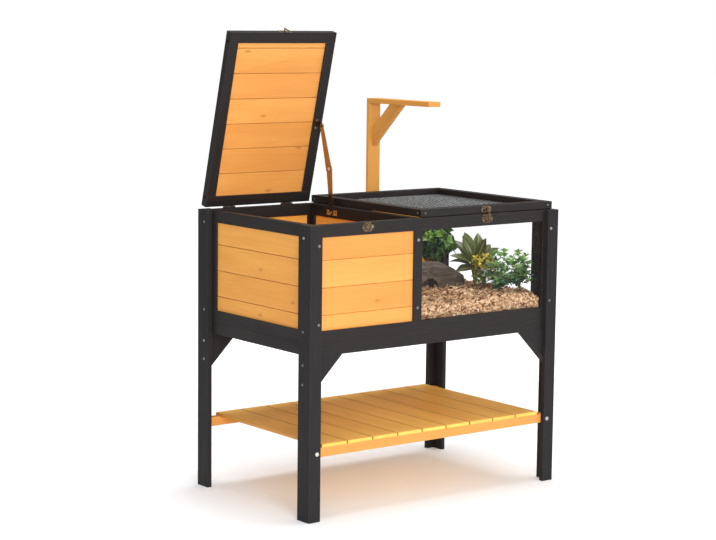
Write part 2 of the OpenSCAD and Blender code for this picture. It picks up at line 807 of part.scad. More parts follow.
module stay_lower_link() color(bronze) placed()
    translate([lower_link_x, base_pivot[0], base_pivot[1]])
        rotate([atan2(elbow[1] - base_pivot[1], elbow[0] - base_pivot[0]), 0, 0])
            stay_link(1);

module stay_upper_link() color(bronze) placed()
    translate([upper_link_x, lid_pivot[0], lid_pivot[1]])
        rotate([atan2(elbow[1] - lid_pivot[1], elbow[0] - lid_pivot[0]), 0, 0])
            stay_link(-1);

// A plate on the lid's underside with a tab that carries the upper link
module stay_lid_bracket() color(bronze) placed() on_open_lid()
    translate([upper_link_x + link_t + link_gap, hinge_y - stay_lid_s,
        hinge_z - stay_lid_drop]) {
        translate([bracket_t - lid_bracket_w, -lid_bracket_l / 2,
            lid_z - bracket_t - hinge_z + stay_lid_drop])
            cube([lid_bracket_w, lid_bracket_l, bracket_t]);
        translate([0, -link_narrow_r, 0])
            cube([bracket_t, 2 * link_narrow_r, lid_z - hinge_z + stay_lid_drop]);
        rotate([0, 90, 0]) cylinder(h = bracket_t, r = link_narrow_r);
        stay_pin();
    }

// ---- Latches -----------------------------------------------------------------

// The two screw places of a latch plate, pointing along -Y
module at_latch_screws() {
    for (side = [-1, 1])
        translate([side * (latch_w / 2 - small_screw_r - 2), 0, 0])
            rotate([90, 0, 0]) children();
}

// A flat plate with rounded ends, standing on the XZ plane, drawn towards -Y
module latch_face(width, height) {
    end_r = height / 2;
    difference() {
        union() {
            translate([-width / 2 + end_r, -latch_t, -height / 2])
                cube([width - 2 * end_r, latch_t, height]);
            for (side = [-1, 1])
                translate([side * (width / 2 - end_r), 0, 0]) rotate([90, 0, 0])
                    cylinder(h = latch_t, r = end_r);
        }
        at_latch_screws() screw_hole(latch_t);
    }
}

// The plate on a lid's front edge, with the hook's pivot pin
module latch_plate(x) {
    translate([x, lid_front, latch_pivot_z]) {
        latch_face(latch_w, latch_plate_h);
        translate([pivot_shift, 0, 0]) rotate([90, 0, 0])
            cylinder(h = lid_front - hook_front + link_gap + cut, r = latch_pin_r);
        translate([pivot_shift, hook_front - link_gap - lid_front, 0]) rotate([90, 0, 0])
            cylinder(h = cut, r = 2 * latch_pin_r);
    }
}

// Where a keeper's pin stands, pointing along -Y
module at_keeper_pin(x) {
    translate([x + pivot_shift + keeper_pin_dx, wall_front, latch_pivot_z + keeper_pin_dz])
        rotate([90, 0, 0]) children();
}

// The plate on the front rail, and the pin set in it that the hook catches
module latch_keeper(x) {
    difference() {
        translate([x, wall_front, keeper_z]) latch_face(latch_w, keeper_h);
        at_keeper_pin(x) translate([0, 0, -cut])
            cylinder(h = latch_t + 2 * cut, r = keeper_pin_r + pin_gap);
    }
    at_keeper_pin(x) cylinder(h = wall_front - hook_front + cut, r = keeper_pin_r);
}

// A hook hanging from its pivot, with the lip to the left below its mouth
module latch_hook(x) {
    half_w = latch_pin_r + 1;
    throat_x = keeper_pin_r + hook_gap - hook_mouth_x;
    tip_x = -hook_mouth_x - keeper_pin_r - 1;
    lip_z = -hook_reach - keeper_pin_r - hook_gap;
    translate([x + pivot_shift, hook_front + hook_t, latch_pivot_z]) rotate([90, 0, 0])
        difference() {
            union() {
                cylinder(h = hook_t, r = 2 * latch_pin_r);
                linear_extrude(hook_t) polygon([
                    [-half_w, 0], [half_w, 0],
                    [half_w, lip_z], [half_w - 3, lip_z - hook_lip],
                    [tip_x, lip_z - hook_lip], [tip_x, lip_z + lip_rise],
                    [tip_x + 2, lip_z], [throat_x, lip_z],
                    [throat_x, -hook_reach + hook_lip]]);
            }
            translate([0, 0, -cut]) cylinder(h = hook_t + 2 * cut, r = latch_pin_r + pin_gap);
        }
}

module left_latch_plate() color(bronze) placed() on_open_lid() latch_plate(left_latch_x);
module left_latch_hook() color(bronze) placed() on_open_lid() latch_hook(left_latch_x);
module left_latch_keeper() color(bronze) placed() latch_keeper(left_latch_x);
module mesh_latch_plate() color(bronze) placed() latch_plate(mesh_latch_x);
module mesh_latch_hook() color(bronze) placed() latch_hook(mesh_latch_x);
module mesh_latch_keeper() color(bronze) placed() latch_keeper(mesh_latch_x);

// ---- Screws --------------------------------------------------------------------

// A domed head with its seat at the origin, pointing along +Z
module screw_head(r, h) {
    rotate_extrude() polygon([[0, 0], [r, 0], [r, h * 0.4], [r * 0.75, h * 0.85], [0, h]]);
}

// The heads on the two outer faces of the front-left leg
module leg_screws() {
    side_y = leg_side_w * 0.62;
    face_x = leg_face_w * 0.72;
    for (z = [opening_bottom, opening_top, apron_z - 23, apron_z - 78])
        translate([0, side_y, z]) rotate([0, -90, 0]) screw_head(screw_r, screw_h);
    for (z = [opening_bottom + 21, opening_top - 21])
        translate([face_x, 0, z]) rotate([90, 0, 0]) screw_head(screw_r, screw_h);
}

// The small heads on one hinge's lower leaf
module leaf_screws() {
    for (side = [-1, 1])
        translate([side * (hinge_w / 2 - 8), -knuckle_r - knuckle_gap + leaf_t,
            -leaf_h + small_screw_r + 2])
            rotate([-90, 0, 0]) screw_head(small_screw_r, small_screw_h);
}

module cabinet_screws() color(steel) placed() {
    at_corners() leg_screws();
    for (z = [opening_bottom + 38, opening_top - 27])
        translate([centre_x, wall_front, z]) rotate([90, 0, 0]) screw_head(screw_r, screw_h);
    for (x = concat(left_hinge_xs, mesh_hinge_xs))
        translate([x, hinge_y, hinge_z]) leaf_screws();
    at_base_screws() flush_screw(bracket_t);
    for (x = [left_latch_x, mesh_latch_x])
        translate([x, wall_front, keeper_z]) at_latch_screws() flush_screw(latch_t);
    for (z = [lamp_post_z + spacer_h / 2, overall_h - spacer_h / 2 - lid_rest_gap])
        translate([lamp_x + lamp_w / 2, post_back, z]) rotate([-90, 0, 0])
            screw_head(screw_r, screw_h);
}

module shelf_bolts() color(steel) placed()
    for (x = [leg_face_w * 0.68, overall_w - leg_face_w * 0.68]) {
        translate([x, 0, shelf_rail_z + shelf_rail_h / 2]) rotate([90, 0, 0])
            screw_head(bolt_r, bolt_h);
        translate([x, overall_d, shelf_rail_z + shelf_rail_h / 2]) rotate([-90, 0, 0])
            screw_head(bolt_r, bolt_h);
    }

module left_lid_screws() color(steel) placed() on_open_lid() {
    for (x = left_hinge_xs)
        translate([x, hinge_y, hinge_z]) mirror([0, 0, 1]) leaf_screws();
    translate([left_latch_x, lid_front, latch_pivot_z])
        at_latch_screws() flush_screw(latch_t);
    for (side = [-1, 1])
        translate([upper_link_x + link_t + link_gap + bracket_t - lid_bracket_w / 2 - 2,
            hinge_y - stay_lid_s + side * 12, lid_z - bracket_t])
            rotate([180, 0, 0]) screw_head(small_screw_r, small_screw_h);
}

module mesh_lid_screws() color(steel) placed() {
    for (x = mesh_hinge_xs)
        translate([x, hinge_y, hinge_z]) mirror([0, 0, 1]) leaf_screws();
    translate([mesh_latch_x, lid_front, latch_pivot_z])
        at_latch_screws() flush_screw(latch_t);
    for (x = [mesh_lid_x + lid_frame_w / 2, mesh_lid_x + mesh_lid_w - lid_frame_w / 2])
        translate([x, lid_front, latch_pivot_z]) rotate([90, 0, 0])
            screw_head(small_screw_r, small_screw_h);
    for (y = [lid_front + lid_frame_w / 2, wall_back - lid_frame_w / 2])
        translate([mesh_lid_x, y, latch_pivot_z]) rotate([0, -90, 0])
            screw_head(small_screw_r, small_screw_h);
}

// ---- Furnishings in the living bay ---------------------------------------------

bay_left = divider_right;
bay_front = inner_front;

// Loose bedding as one level layer that also lies on the front sill
module bedding() color([0.86, 0.70, 0.52]) placed() {
    translate([bay_left + bedding_gap, bay_front + bedding_gap, wall_z])
        cube([inner_right - bay_left - 2 * bedding_gap, side_wall_l - 2 * bedding_gap,
            bedding_h]);
    sill_x = max(wall_left + living_bay_x, divider_right) + bedding_gap;
    sill_y = wall_front + board_setback + window_t + bedding_gap;
    translate([sill_x, sill_y, opening_bottom])
        cube([wall_left + right_stile_x - bedding_gap - sill_x,
            bay_front + bedding_gap + cut - sill_y, bedding_top - opening_bottom]);
}

rock_x = inner_right - rock_inset;
rock_y = bay_front + rock_behind;
rock_wall = 14;             // rock beside the tunnel's mouth

// A low rounded rock with a tunnel that opens to the front
module rock_hide() color([0.45, 0.40, 0.36]) placed()
    translate([rock_x, rock_y, bedding_top]) difference() {
        hull() for (lump = [[0.16, 0.34, 0.95], [0.5, 0.42, 1], [0.88, 0.36, 0.5],
            [0.3, 0.72, 0.9], [0.74, 0.7, 0.62]]) {
            r = rock_h * lump[2] * 0.42;
            translate([rock_w * lump[0], rock_d * lump[1], rock_h * lump[2] - r])
                sphere(r = r, $fn = 24);
            translate([rock_w * lump[0], rock_d * lump[1], 0])
                cylinder(h = 1, r = r * 0.98, $fn = 24);
        }
        translate([rock_mouth_r + rock_wall, -rock_d / 2, 0]) rotate([-90, 0, 0])
            cylinder(h = rock_d, r = rock_mouth_r);
        translate([-rock_w, -rock_d, -rock_h]) cube([3 * rock_w, 3 * rock_d, rock_h]);
    }

// A plant, set from the right and front walls: a foot on the bedding, a stem
// and a round crown of leaves
module plant(inset, behind, r, crown_z) {
    translate([inner_right - inset, bay_front + behind, bedding_top]) {
        cylinder(h = plant_foot_h, r = plant_foot_r);
        cylinder(h = crown_z, r = plant_stem_r);
        translate([0, 0, crown_z]) sphere(r = r);
    }
}

module leafy_plant() color([0.20, 0.42, 0.16]) placed()
    plant(leafy_inset, leafy_behind, leafy_r, leafy_z);
module croton_plant() color([0.50, 0.52, 0.20]) placed()
    plant(croton_inset, croton_behind, croton_r, croton_z);
module small_leaf_plant() color([0.28, 0.50, 0.28]) placed()
    for (i = [0, 1])
        plant(small_leaf_gap + small_leaf_r + i * (small_leaf_gap + 2 * small_leaf_r),
            small_leaf_behind, small_leaf_r, [corner_leaf_z, small_leaf_z][i]);

leg_face_boards();
leg_side_boards();
leg_gussets();
front_rails();
front_stiles();
front_planks();
front_window();
left_rails();
left_stiles();
left_planks();
right_rails();
right_stiles();
right_window();
back_rails();
back_stiles();
back_planks();
apron_front();
apron_back();
apron_sides();
floor_panel();
floor_battens();
divider_rails();
divider_stiles();
divider_planks();
shelf_rails();
shelf_slats();
lamp_spacers();
lamp_post();
lamp_arm();
lamp_brace();
cabinet_hinge_leaves();
hinge_pins();
stay_base_bracket();
left_latch_keeper();
mesh_latch_keeper();
cabinet_screws();
shelf_bolts();
bedding();
rock_hide();
leafy_plant();
croton_plant();
small_leaf_plant();
left_lid_rails();
left_lid_stiles();
left_lid_planks();
left_lid_hinge_leaves();
stay_lid_bracket();
left_latch_plate();
left_lid_screws();
mesh_lid_rails();
mesh_lid_stiles();
wire_mesh();
mesh_lid_hinge_leaves();
mesh_latch_plate();
mesh_lid_screws();
stay_lower_link();
stay_upper_link();
left_latch_hook();
mesh_latch_hook();
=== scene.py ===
"""Finishes, furnishings and studio for a raised timber reptile terrarium.

The packed model gives every timber, pane, wire and fitting. This file paints
them, rounds their arrises, lays the bedding, shapes the rock hide, grows the
plants and sets up the studio. Every length is in metres.
"""

import math

import bmesh
import bpy
import numpy as np
from bpy.props import (FloatProperty, FloatVectorProperty, IntProperty,
                       PointerProperty)
from bpy.types import Operator, Panel, PropertyGroup
from mathutils import Matrix, Vector, noise


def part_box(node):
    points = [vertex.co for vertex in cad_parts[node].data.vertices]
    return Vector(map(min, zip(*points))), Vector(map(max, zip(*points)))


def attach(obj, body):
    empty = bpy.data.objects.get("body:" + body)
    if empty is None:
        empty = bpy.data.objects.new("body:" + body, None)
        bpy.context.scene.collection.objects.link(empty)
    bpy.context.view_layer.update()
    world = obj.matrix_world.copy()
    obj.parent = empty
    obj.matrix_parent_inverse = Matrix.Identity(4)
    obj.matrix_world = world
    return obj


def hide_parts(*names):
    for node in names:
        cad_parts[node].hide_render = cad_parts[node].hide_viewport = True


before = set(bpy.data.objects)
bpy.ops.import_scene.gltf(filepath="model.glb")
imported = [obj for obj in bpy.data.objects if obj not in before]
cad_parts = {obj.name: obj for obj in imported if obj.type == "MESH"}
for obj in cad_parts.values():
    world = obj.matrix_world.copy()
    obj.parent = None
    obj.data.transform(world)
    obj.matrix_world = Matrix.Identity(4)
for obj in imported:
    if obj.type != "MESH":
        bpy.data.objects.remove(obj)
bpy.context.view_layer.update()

bl_info = {
    "name": "Reptile Terrarium",
    "version": (1, 0, 0),
    "blender": (4, 5, 0),
    "location": "View3D > Sidebar > Terrarium",
    "description": "Finishes and furnishings for a raised timber reptile terrarium",
    "category": "Object",
}

# Directions of the grain and of the boards' joints, in the cabinet's frame
ALONG_X, ALONG_Y, ALONG_Z = (1, 0, 0), (0, 1, 0), (0, 0, 1)
UP_LID = (0, -0.25038, 0.96815)
ALONG_BRACE = (0, -0.7496, 0.6619)

WELD_GAP = 0.00002      # points nearer than this are one
SHARP = math.radians(40)    # an edge that turns less keeps its shape


# ---- Sizes and colours -------------------------------------------------------

def colour(name, default, description):
    """A colour picker."""
    return FloatVectorProperty(name=name, description=description, default=default,
                               size=3, min=0.0, max=1.0, subtype="COLOR")


def length(name, default, description, low=0.0, high=10.0):
    """A length in metres."""
    return FloatProperty(name=name, description=description, default=default,
                         min=low, max=high, precision=4, unit="LENGTH")


def share(name, default, description):
    """A number from 0 to 1."""
    return FloatProperty(name=name, description=description, default=default,
                         min=0.0, max=1.0, subtype="FACTOR")


def count(name, default, description):
    """A number of copies."""
    return IntProperty(name=name, description=description, default=default, min=1)


def strength(name, default, description, unit="NONE"):
    """A brightness, or a lamp's power."""
    return FloatProperty(name=name, description=description, default=default, min=0.0,
                         unit=unit)


class TimberFinish(PropertyGroup):
    """The stained pine, the black paint and the plywood."""

    pine: colour("Pine", (0.700, 0.302, 0.072), "Stained pine between its growth rings")
    # Painted light: the shelf's, the inner boards' and the left wall's stains are brighter
    # copies of the pine, lit beyond what the lamps give them.
    shelf_pine_painted_light: colour("Pale pine", (1.0, 0.55, 0.112), "The shelf's slats")
    inner_pine_painted_light: colour("Inner pine", (1.0, 0.47, 0.080), "The back's and divider's boards")
    left_pine_painted_light: colour("Left pine", (0.755, 0.345, 0.072), "The left wall's boards")
    lamp_pine: colour("Lamp holder pine", (0.60, 0.275, 0.056), "The holder's darker bars")
    late_wood: colour("Growth rings", (0.57, 0.215, 0.034), "The rings' darker wood")
    knot: colour("Knots", (0.30, 0.095, 0.022), "The eye of a knot")
    paint: colour("Paint", (0.0140, 0.0120, 0.0118), "The frames' black paint")
    leg_paint: colour("Leg paint", (0.0195, 0.0185, 0.0200), "The legs' cooler black")
    rubbed: colour("Rubbed paint", (0.060, 0.046, 0.038), "Paint worn thin at an arris")
    ply: colour("Plywood", (0.60, 0.40, 0.20), "The floor's face veneer")
    arris: length("Arris", 0.0009, "Rounding of the timber's edges", 0.0002, 0.003)
    board_pitch: length("Board pitch", 0.0765, "From one board's joint to the next")
    slat_pitch: length("Slat pitch", 0.0904, "From one shelf slat to the next")
    knots: share("Share of knots", 0.20, "How many places of a batten have a knot")


class MetalFinish(PropertyGroup):
    """The brass, the darkened latches, the screws and the wire."""

    brass: colour("Brass", (0.40, 0.215, 0.062), "The lid stay's brass")
    bronze: colour("Dark brass", (0.075, 0.050, 0.030), "The hinges and the lid's bracket")
    crests: colour("Rubbed crests", (0.62, 0.43, 0.22), "The latches' raised pattern")
    # Painted shade: this colour also darkens the lid stay's foot.
    tarnish_and_shade: colour("Tarnish", (0.030, 0.018, 0.011), "The brass where it has darkened")
    zinc: colour("Zinc", (0.36, 0.33, 0.29), "The screws' plating")
    dull_zinc: colour("Dull zinc", (0.10, 0.09, 0.078), "The plating of the dullest screws")
    nickel: colour("Nickel", (0.66, 0.63, 0.59), "The shelf bolts and the stay's rivet")
    wire: colour("Galvanised wire", (0.33, 0.34, 0.34), "The mesh's wire")
    edge: length("Edge", 0.00025, "Rounding of the fittings' edges", 0.0001, 0.001)


class Glazing(PropertyGroup):
    """The two windows."""

    sheen: colour("Sheen", (0.92, 0.96, 0.97), "The colour of the panes' reflections")
    mirror: share("Mirror", 0.22, "How much of a bare pane's reflection is left")
    smudges: share("Smudges", 0.006, "How much the wiped marks show")


class BeddingLayer(PropertyGroup):
    """The loose wood chips."""

    chips: count("Chips", 7200, "Chips on the layer's top")
    window_chips: count("Chips at the windows", 1700, "Chips that lie against a pane")
    chip_length: length("Chip length", 0.0175, "A middling chip's length", 0.004, 0.03)
    chip_width: length("Chip width", 0.0062, "A middling chip's width", 0.002, 0.02)
    swell: length("Swell", 0.006, "Rise and fall of the layer's top", 0.0, 0.02)
    slope_width: length("Slope width", 0.055, "Breadth of the fall to the front corner",
                        0.01, 0.2)
    slope_fall: length("Slope fall", 0.032, "Depth of that fall", 0.0, 0.04)
    cream: colour("Cream chips", (0.66, 0.475, 0.290), "The palest chips")
    tan: colour("Tan chips", (0.41, 0.215, 0.098), "The middling chips")
    # Also the painted shade in the packed layer's gaps.
    bark_and_gap_shade: colour("Bark", (0.11, 0.034, 0.013), "The darkest chips")


class RockHide(PropertyGroup):
    """The rock with a tunnel."""

    voxel: length("Voxel", 0.0028, "Fineness of the rock's skin", 0.001, 0.01)
    lumps: length("Lumps", 0.0060, "Height of the rock's lumps", 0.0, 0.02)
    stone: colour("Stone", (0.150, 0.108, 0.080), "The rock's face")
    seam: colour("Seams", (0.038, 0.025, 0.018), "The rock's hollows and cracks")
    dry: colour("Dry face", (0.30, 0.245, 0.20), "The rock's worn crests")


class LeafyPlant(PropertyGroup):
    """The dense plant behind the rock."""

    branches: count("Branches", 26, "Branches from the foot")
    rosettes: count("Rosettes", 115, "Tufts of leaves over the crown")
    leaf_length: length("Leaf length", 0.0350, "A leaf's length", 0.005, 0.06)
    leaf_width: length("Leaf width", 0.0220, "A leaf's width", 0.003, 0.05)
    # Painted shade: the leafy plant's inner leaves are near black and its outer leaves a
    # lighter green, for the crown's shade and light.
    pale_leaf: colour("Young leaves", (0.160, 0.310, 0.040), "The crown's outer leaves")
    dark_leaf: colour("Old leaves", (0.004, 0.032, 0.010), "The crown's inner leaves")
    vein: colour("Veins", (0.20, 0.36, 0.08), "The midribs")


class CrotonPlant(PropertyGroup):
    """The broad-leaved plant with marked leaves."""

    leaves: count("Leaves", 22, "Leaves in the crown")
    leaf_length: length("Leaf length", 0.086, "A leaf's length", 0.01, 0.12)
    leaf_width: length("Leaf width", 0.037, "A leaf's width", 0.004, 0.05)
    pale_leaf: colour("Green part", (0.062, 0.096, 0.020), "A leaf's green")
    dark_leaf: colour("Dark part", (0.020, 0.018, 0.010), "A leaf's olive brown")
    vein: colour("Veins", (0.33, 0.33, 0.075), "The yellow midribs and rims")
    yellow: colour("Yellow leaves", (0.50, 0.38, 0.026), "The low sprig's leaves")
    sprig_tufts: count("Sprig tufts", 28, "Tufts of leaves on the yellow sprig")


class SmallLeafPlant(PropertyGroup):
    """The two fine plants at the front."""

    branches: count("Branches", 17, "Stems from each foot")
    whorls: count("Whorls", 4, "Whorls of leaves on a stem")
    leaf_length: length("Leaf length", 0.0250, "A leaf's length", 0.004, 0.04)
    leaf_width: length("Leaf width", 0.0115, "A leaf's width", 0.002, 0.03)
    pale_leaf: colour("Young leaves", (0.190, 0.340, 0.075), "The tips' leaves")
    dark_leaf: colour("Old leaves", (0.004, 0.046, 0.022), "The lower leaves")
    vein: colour("Veins", (0.22, 0.36, 0.14), "The midribs")


class Studio(PropertyGroup):
    """The floor, the lamps and the camera."""

    floor: colour("Floor", (0.84, 0.855, 0.875), "The studio's floor")
    sky: strength("Sky", 0.78, "Brightness of the white room")
    dim_side: share("Dim side", 0.62, "Brightness of the room's left wall")
    dim_back: share("Dim back", 0.22, "Brightness of the room behind the cabinet")
    skirt: strength("Skirt", 3.1, "Brightness of the room's lowest part")
    key: strength("Key lamp", 52.0, "The large lamp at the front left", "POWER")
    low: strength("Low lamp", 81.0, "The lamp that reaches under the cabinet", "POWER")
    top: strength("Top lamp", 160.0, "The lamp overhead", "POWER")
    lens: length("Lens", 0.0985, "The camera's focal length", 0.02, 0.3)


# ---- Shader nodes ------------------------------------------------------------

class Value:
    """An output of a shader node. Reckoning with it adds nodes to its tree."""

    def __init__(self, socket):
        self.socket, self.tree = socket, socket.id_data

    def __add__(self, other):
        return reckon("ADD", self, other)

    def __radd__(self, other):
        return reckon("ADD", other, self)

    def __sub__(self, other):
        return reckon("SUBTRACT", self, other)

    def __rsub__(self, other):
        return reckon("SUBTRACT", other, self)

    def __mul__(self, other):
        return reckon("MULTIPLY", self, other)

    def __truediv__(self, other):
        return reckon("DIVIDE", self, other)

    def __abs__(self):
        return reckon("ABSOLUTE", self)

    def times_plus(self, factor, more, clamp=False):
        """This value times factor, plus more."""
        return reckon("MULTIPLY_ADD", self, factor, more, clamp=clamp)

    def rise(self, low, high, at_low=0.0, at_high=1.0):
        """This value carried smoothly from low..high to at_low..at_high."""
        return put(self.tree, "MapRange", {
            "Value": self, "From Min": low, "From Max": high, "To Min": at_low,
            "To Max": at_high}, interpolation_type="SMOOTHSTEP")["Result"]

    def over(self, under, upper):
        """The colour upper laid over the colour under by this value."""
        return laid(self, under, upper)

    def parts(self):
        """The three numbers of a place or a direction."""
        return put(self.tree, "SeparateXYZ", {0: self})

    def stretched(self, x, y, z):
        """This place scaled along its three axes."""
        return on_vectors("MULTIPLY", self, (x, y, z))

    def grains(self, scale=1.0, detail=2.0, rough=0.5, warp=0.0):
        """The value of a Noise texture at this place."""
        return put(self.tree, "TexNoise", {
            "Vector": self, "Scale": scale, "Detail": detail, "Roughness": rough,
            "Distortion": warp}, noise_dimensions="3D")["Fac"]

    def cells(self, scale=1.0, randomness=1.0, **settings):
        """The outputs of a Voronoi texture at this place."""
        return put(self.tree, "TexVoronoi", {"Vector": self, "Scale": scale,
                                             "Randomness": randomness}, **settings)


class Outlets:
    """A shader node's outputs, found by name or number."""

    def __init__(self, node):
        self.node = node

    def __getitem__(self, name):
        return Value(self.node.outputs[name])


def rgba(value):
    """A colour with its alpha."""
    return (*value[:3], 1.0)


def spaced(sockets):
    """Sockets by their real names, with a space for each underscore."""
    return {label.replace("_", " "): value for label, value in sockets.items()}


def wire_up(node, sockets):
    """Links or fills a node's sockets."""
    for name, value in sockets.items():
        if isinstance(value, Value):
            value.tree.links.new(value.socket, node.inputs[name])
        else:
            node.inputs[name].default_value = value


def put(tree, kind, inputs=None, **settings):
    """Adds a shader node, sets it up and wires it; returns its outputs."""
    node = tree.nodes.new("ShaderNode" + kind)
    place = len(tree.nodes)
    node.location = (place % 9 * 210 - 900, 500 - place // 9 * 300)
    for name, value in settings.items():
        setattr(node, name, value)
    wire_up(node, inputs or {})
    return Outlets(node)


def tree_of(*values):
    """The tree that the first of the linked values stands in."""
    return next(value.tree for value in values if isinstance(value, Value))


def reckon(operation, *values, clamp=False):
    """The result of a Math node."""
    return put(tree_of(*values), "Math", dict(enumerate(values)), operation=operation,
               use_clamp=clamp)[0]


def on_vectors(operation, *values):
    """The result of a Vector Math node."""
    single = operation in ("DOT_PRODUCT", "DISTANCE", "LENGTH")
    return put(tree_of(*values), "VectorMath", dict(enumerate(values)),
               operation=operation)["Value" if single else "Vector"]


def laid(factor, under, upper, mode="MIX"):
    """One colour laid over another by factor."""
    under, upper = (coat if isinstance(coat, Value) else rgba(coat)
                    for coat in (under, upper))
    return put(tree_of(factor, under, upper), "Mix", {0: factor, 6: under, 7: upper},
               data_type="RGBA", blend_type=mode)[2]


def place_in(tree):
    """Where a point lies on its object."""
    return put(tree, "TexCoord")["Object"]


def facing_in(tree):
    """The direction that a face looks in, as its three numbers."""
    return put(tree, "NewGeometry")["Normal"].parts()


def tone_in(tree):
    """The tone of a leaf, a chip or a screw: chance, and on the leafy plant painted shade as
    well.
    """
    return put(tree, "Attribute", attribute_name="tone")["Fac"]


def first_of(shade):
    """A colour's first number."""
    return put(shade.tree, "SeparateColor", {0: shade})[0]


def effect(name, inputs, *outputs):
    """A new node group with named sockets: its tree, what goes in, what comes out."""
    tree = bpy.data.node_groups.new(name, "ShaderNodeTree")
    kinds = {3: "Vector", 4: "Color"}
    for label, default in inputs.items():
        kind = "Float" if isinstance(default, float) else kinds[len(default)]
        tree.interface.new_socket(label, in_out="INPUT",
                                  socket_type="NodeSocket" + kind).default_value = default
    for label in outputs:
        kind = label if label in kinds.values() else "Float"
        tree.interface.new_socket(label, in_out="OUTPUT", socket_type="NodeSocket" + kind)
    return (tree, Outlets(tree.nodes.new("NodeGroupInput")),
            tree.nodes.new("NodeGroupOutput"))


def use(tree, name, **inputs):
    """Places a shared effect in a material; returns its outputs."""
    return put(tree, "Group", spaced(inputs), node_tree=bpy.data.node_groups[name])


def finish_of(name, **sockets):
    """A new material and its tree."""
    material = bpy.data.materials.new(name)
    material.use_nodes = True
    wire_up(material.node_tree.nodes["Principled BSDF"], spaced(sockets))
    return material, material.node_tree


def dressed(material, relief=None, **sockets):
    """Wires the surface shader; relief is a height, its depth and its strength."""
    shader = material.node_tree.nodes["Principled BSDF"]
    if relief:
        height, depth, strength = relief
        sockets["Normal"] = put(height.tree, "Bump", {
            "Height": height, "Distance": depth, "Strength": strength})["Normal"]
    wire_up(shader, spaced(sockets))
    return material


# ---- Shared effects ----------------------------------------------------------

def build_timber_axes():
    """Puts a place on the timber's own axes: along, across and through the grain."""
    tree, given, made = effect("Timber axes", {"Grain": ALONG_X, "Across": ALONG_Z},
                               "Vector")
    through = on_vectors("CROSS_PRODUCT", given["Grain"], given["Across"])
    parts = [on_vectors("DOT_PRODUCT", place_in(tree), axis)
             for axis in (given["Grain"], given["Across"], through)]
    wire_up(made, {"Vector": put(tree, "CombineXYZ", dict(enumerate(parts)))[0]})


def build_board_joints():
    """Numbers the boards across a panel, and marks the joints between them."""
    tree, given, made = effect(
        "Board joints", {"Vector": (0, 0, 0), "Pitch": 0.0765, "First joint": 0.0,
                         "Panel": 0.0, "Joint width": 0.0022}, "Vector", "Tone", "Joint")
    boards = (given["Vector"].parts()[1] - given["First joint"]) / given["Pitch"]
    number = reckon("FLOOR", boards) + given["Panel"] * 17.0
    chance = put(tree, "TexWhiteNoise", {"W": number}, noise_dimensions="1D")
    width = given["Joint width"] * 0.5 / given["Pitch"]
    wire_up(made, {
        "Vector": on_vectors("ADD", given["Vector"],
                             chance["Color"].stretched(9.0, 0.0, 4.0)),
        "Tone": chance["Value"],
        "Joint": reckon("PINGPONG", boards, 0.5).rise(width * 1.6, width * 0.4)})


def build_timber_figure():
    """Growth rings, fibres and knots of a softwood board."""
    _, given, made = effect("Timber figure", {"Vector": (0, 0, 0), "Knots": 0.3},
                            "Rings", "Fibre", "Knot", "Height")
    board = given["Vector"]
    cells = board.stretched(4.3, 11.0, 0.0).cells(randomness=0.9, voronoi_dimensions="2D")
    chosen = reckon("LESS_THAN", first_of(cells["Color"]), given["Knots"])
    nearness = cells["Distance"].rise(0.26, 0.0) * chosen
    frayed = board.grains(130.0, 3.0, 0.7).times_plus(0.07, cells["Distance"])
    knot = frayed.rise(0.105, 0.040) * chosen
    sweep = board.stretched(0.7, 11.0, 5.0).grains(detail=1.0)
    lines = reckon("FRACT", nearness.times_plus(0.24, sweep) * 13.0)
    late = lines.rise(0.35, 0.92) * lines.rise(1.0, 0.95)
    fibre = board.stretched(9.0, 420.0, 420.0).grains(1.0, 3.0, 0.6)
    rough = fibre.times_plus(0.6, late * 0.35)
    wire_up(made, {"Rings": late, "Fibre": fibre, "Knot": knot,
                   "Height": knot.times_plus(0.8, rough)})


def build_arris_wear():
    """A mask of the edges that hands and packing have rubbed."""
    tree, given, made = effect("Arris wear", {"Width": 0.002, "Breakup": 60.0}, "Wear")
    soft = put(tree, "Bevel", {"Radius": given["Width"]}, samples=4)["Normal"]
    turned = on_vectors("DOT_PRODUCT", soft, put(tree, "NewGeometry")["Normal"])
    patches = place_in(tree).grains(given["Breakup"], 3.0, 0.6)
    wire_up(made, {"Wear": turned.rise(0.995, 0.90) * patches.rise(0.35, 0.62)})


def build_dust():
    """A mask of the fine dust that settles on upper faces."""
    tree, given, made = effect("Dust", {"Amount": 0.3}, "Dust")
    specks, drifts = place_in(tree).grains(260.0, 4.0, 0.7), place_in(tree).grains(7.0)
    fallen = specks.rise(0.50, 0.72) * drifts.rise(0.30, 0.70)
    wire_up(made, {"Dust": fallen * facing_in(tree)[2].rise(0.2, 0.9) * given["Amount"]})


def build_metal_wear():
    """Mottling and fine scratches of plated or cast metal."""
    tree, given, made = effect("Metal wear", {"Mottle size": 400.0, "Scratches": 0.5},
                               "Mottle", "Scratch", "Height")
    mottle = place_in(tree).grains(given["Mottle size"], 4.0, 0.65, 0.4)
    lines = place_in(tree).stretched(90.0, 900.0, 2600.0).grains()
    scratch = lines.rise(0.60, 0.66) * given["Scratches"]
    wire_up(made, {"Mottle": mottle, "Scratch": scratch, "Height": mottle - scratch})


def build_leaf_blade():
    """Midrib, side veins and rim of a leaf, from its own length and width."""
    _, given, made = effect(
        "Leaf blade", {"Vector": (0, 0, 0), "Veins": 7.0, "Midrib width": 0.06},
        "Midrib", "Veins", "Rim", "Height")
    spot = given["Vector"].parts()
    side = abs(spot[0].times_plus(2.0, -1.0))
    midrib = 1.0 - side.rise(0.0, given["Midrib width"])
    slanted = side.times_plus(-0.22, spot[1]) * given["Veins"]
    veins = reckon("PINGPONG", slanted, 0.5).rise(0.10, 0.0)
    wire_up(made, {"Midrib": midrib, "Veins": veins, "Rim": side.rise(0.70, 0.98),
                   "Height": midrib + veins * 0.35})


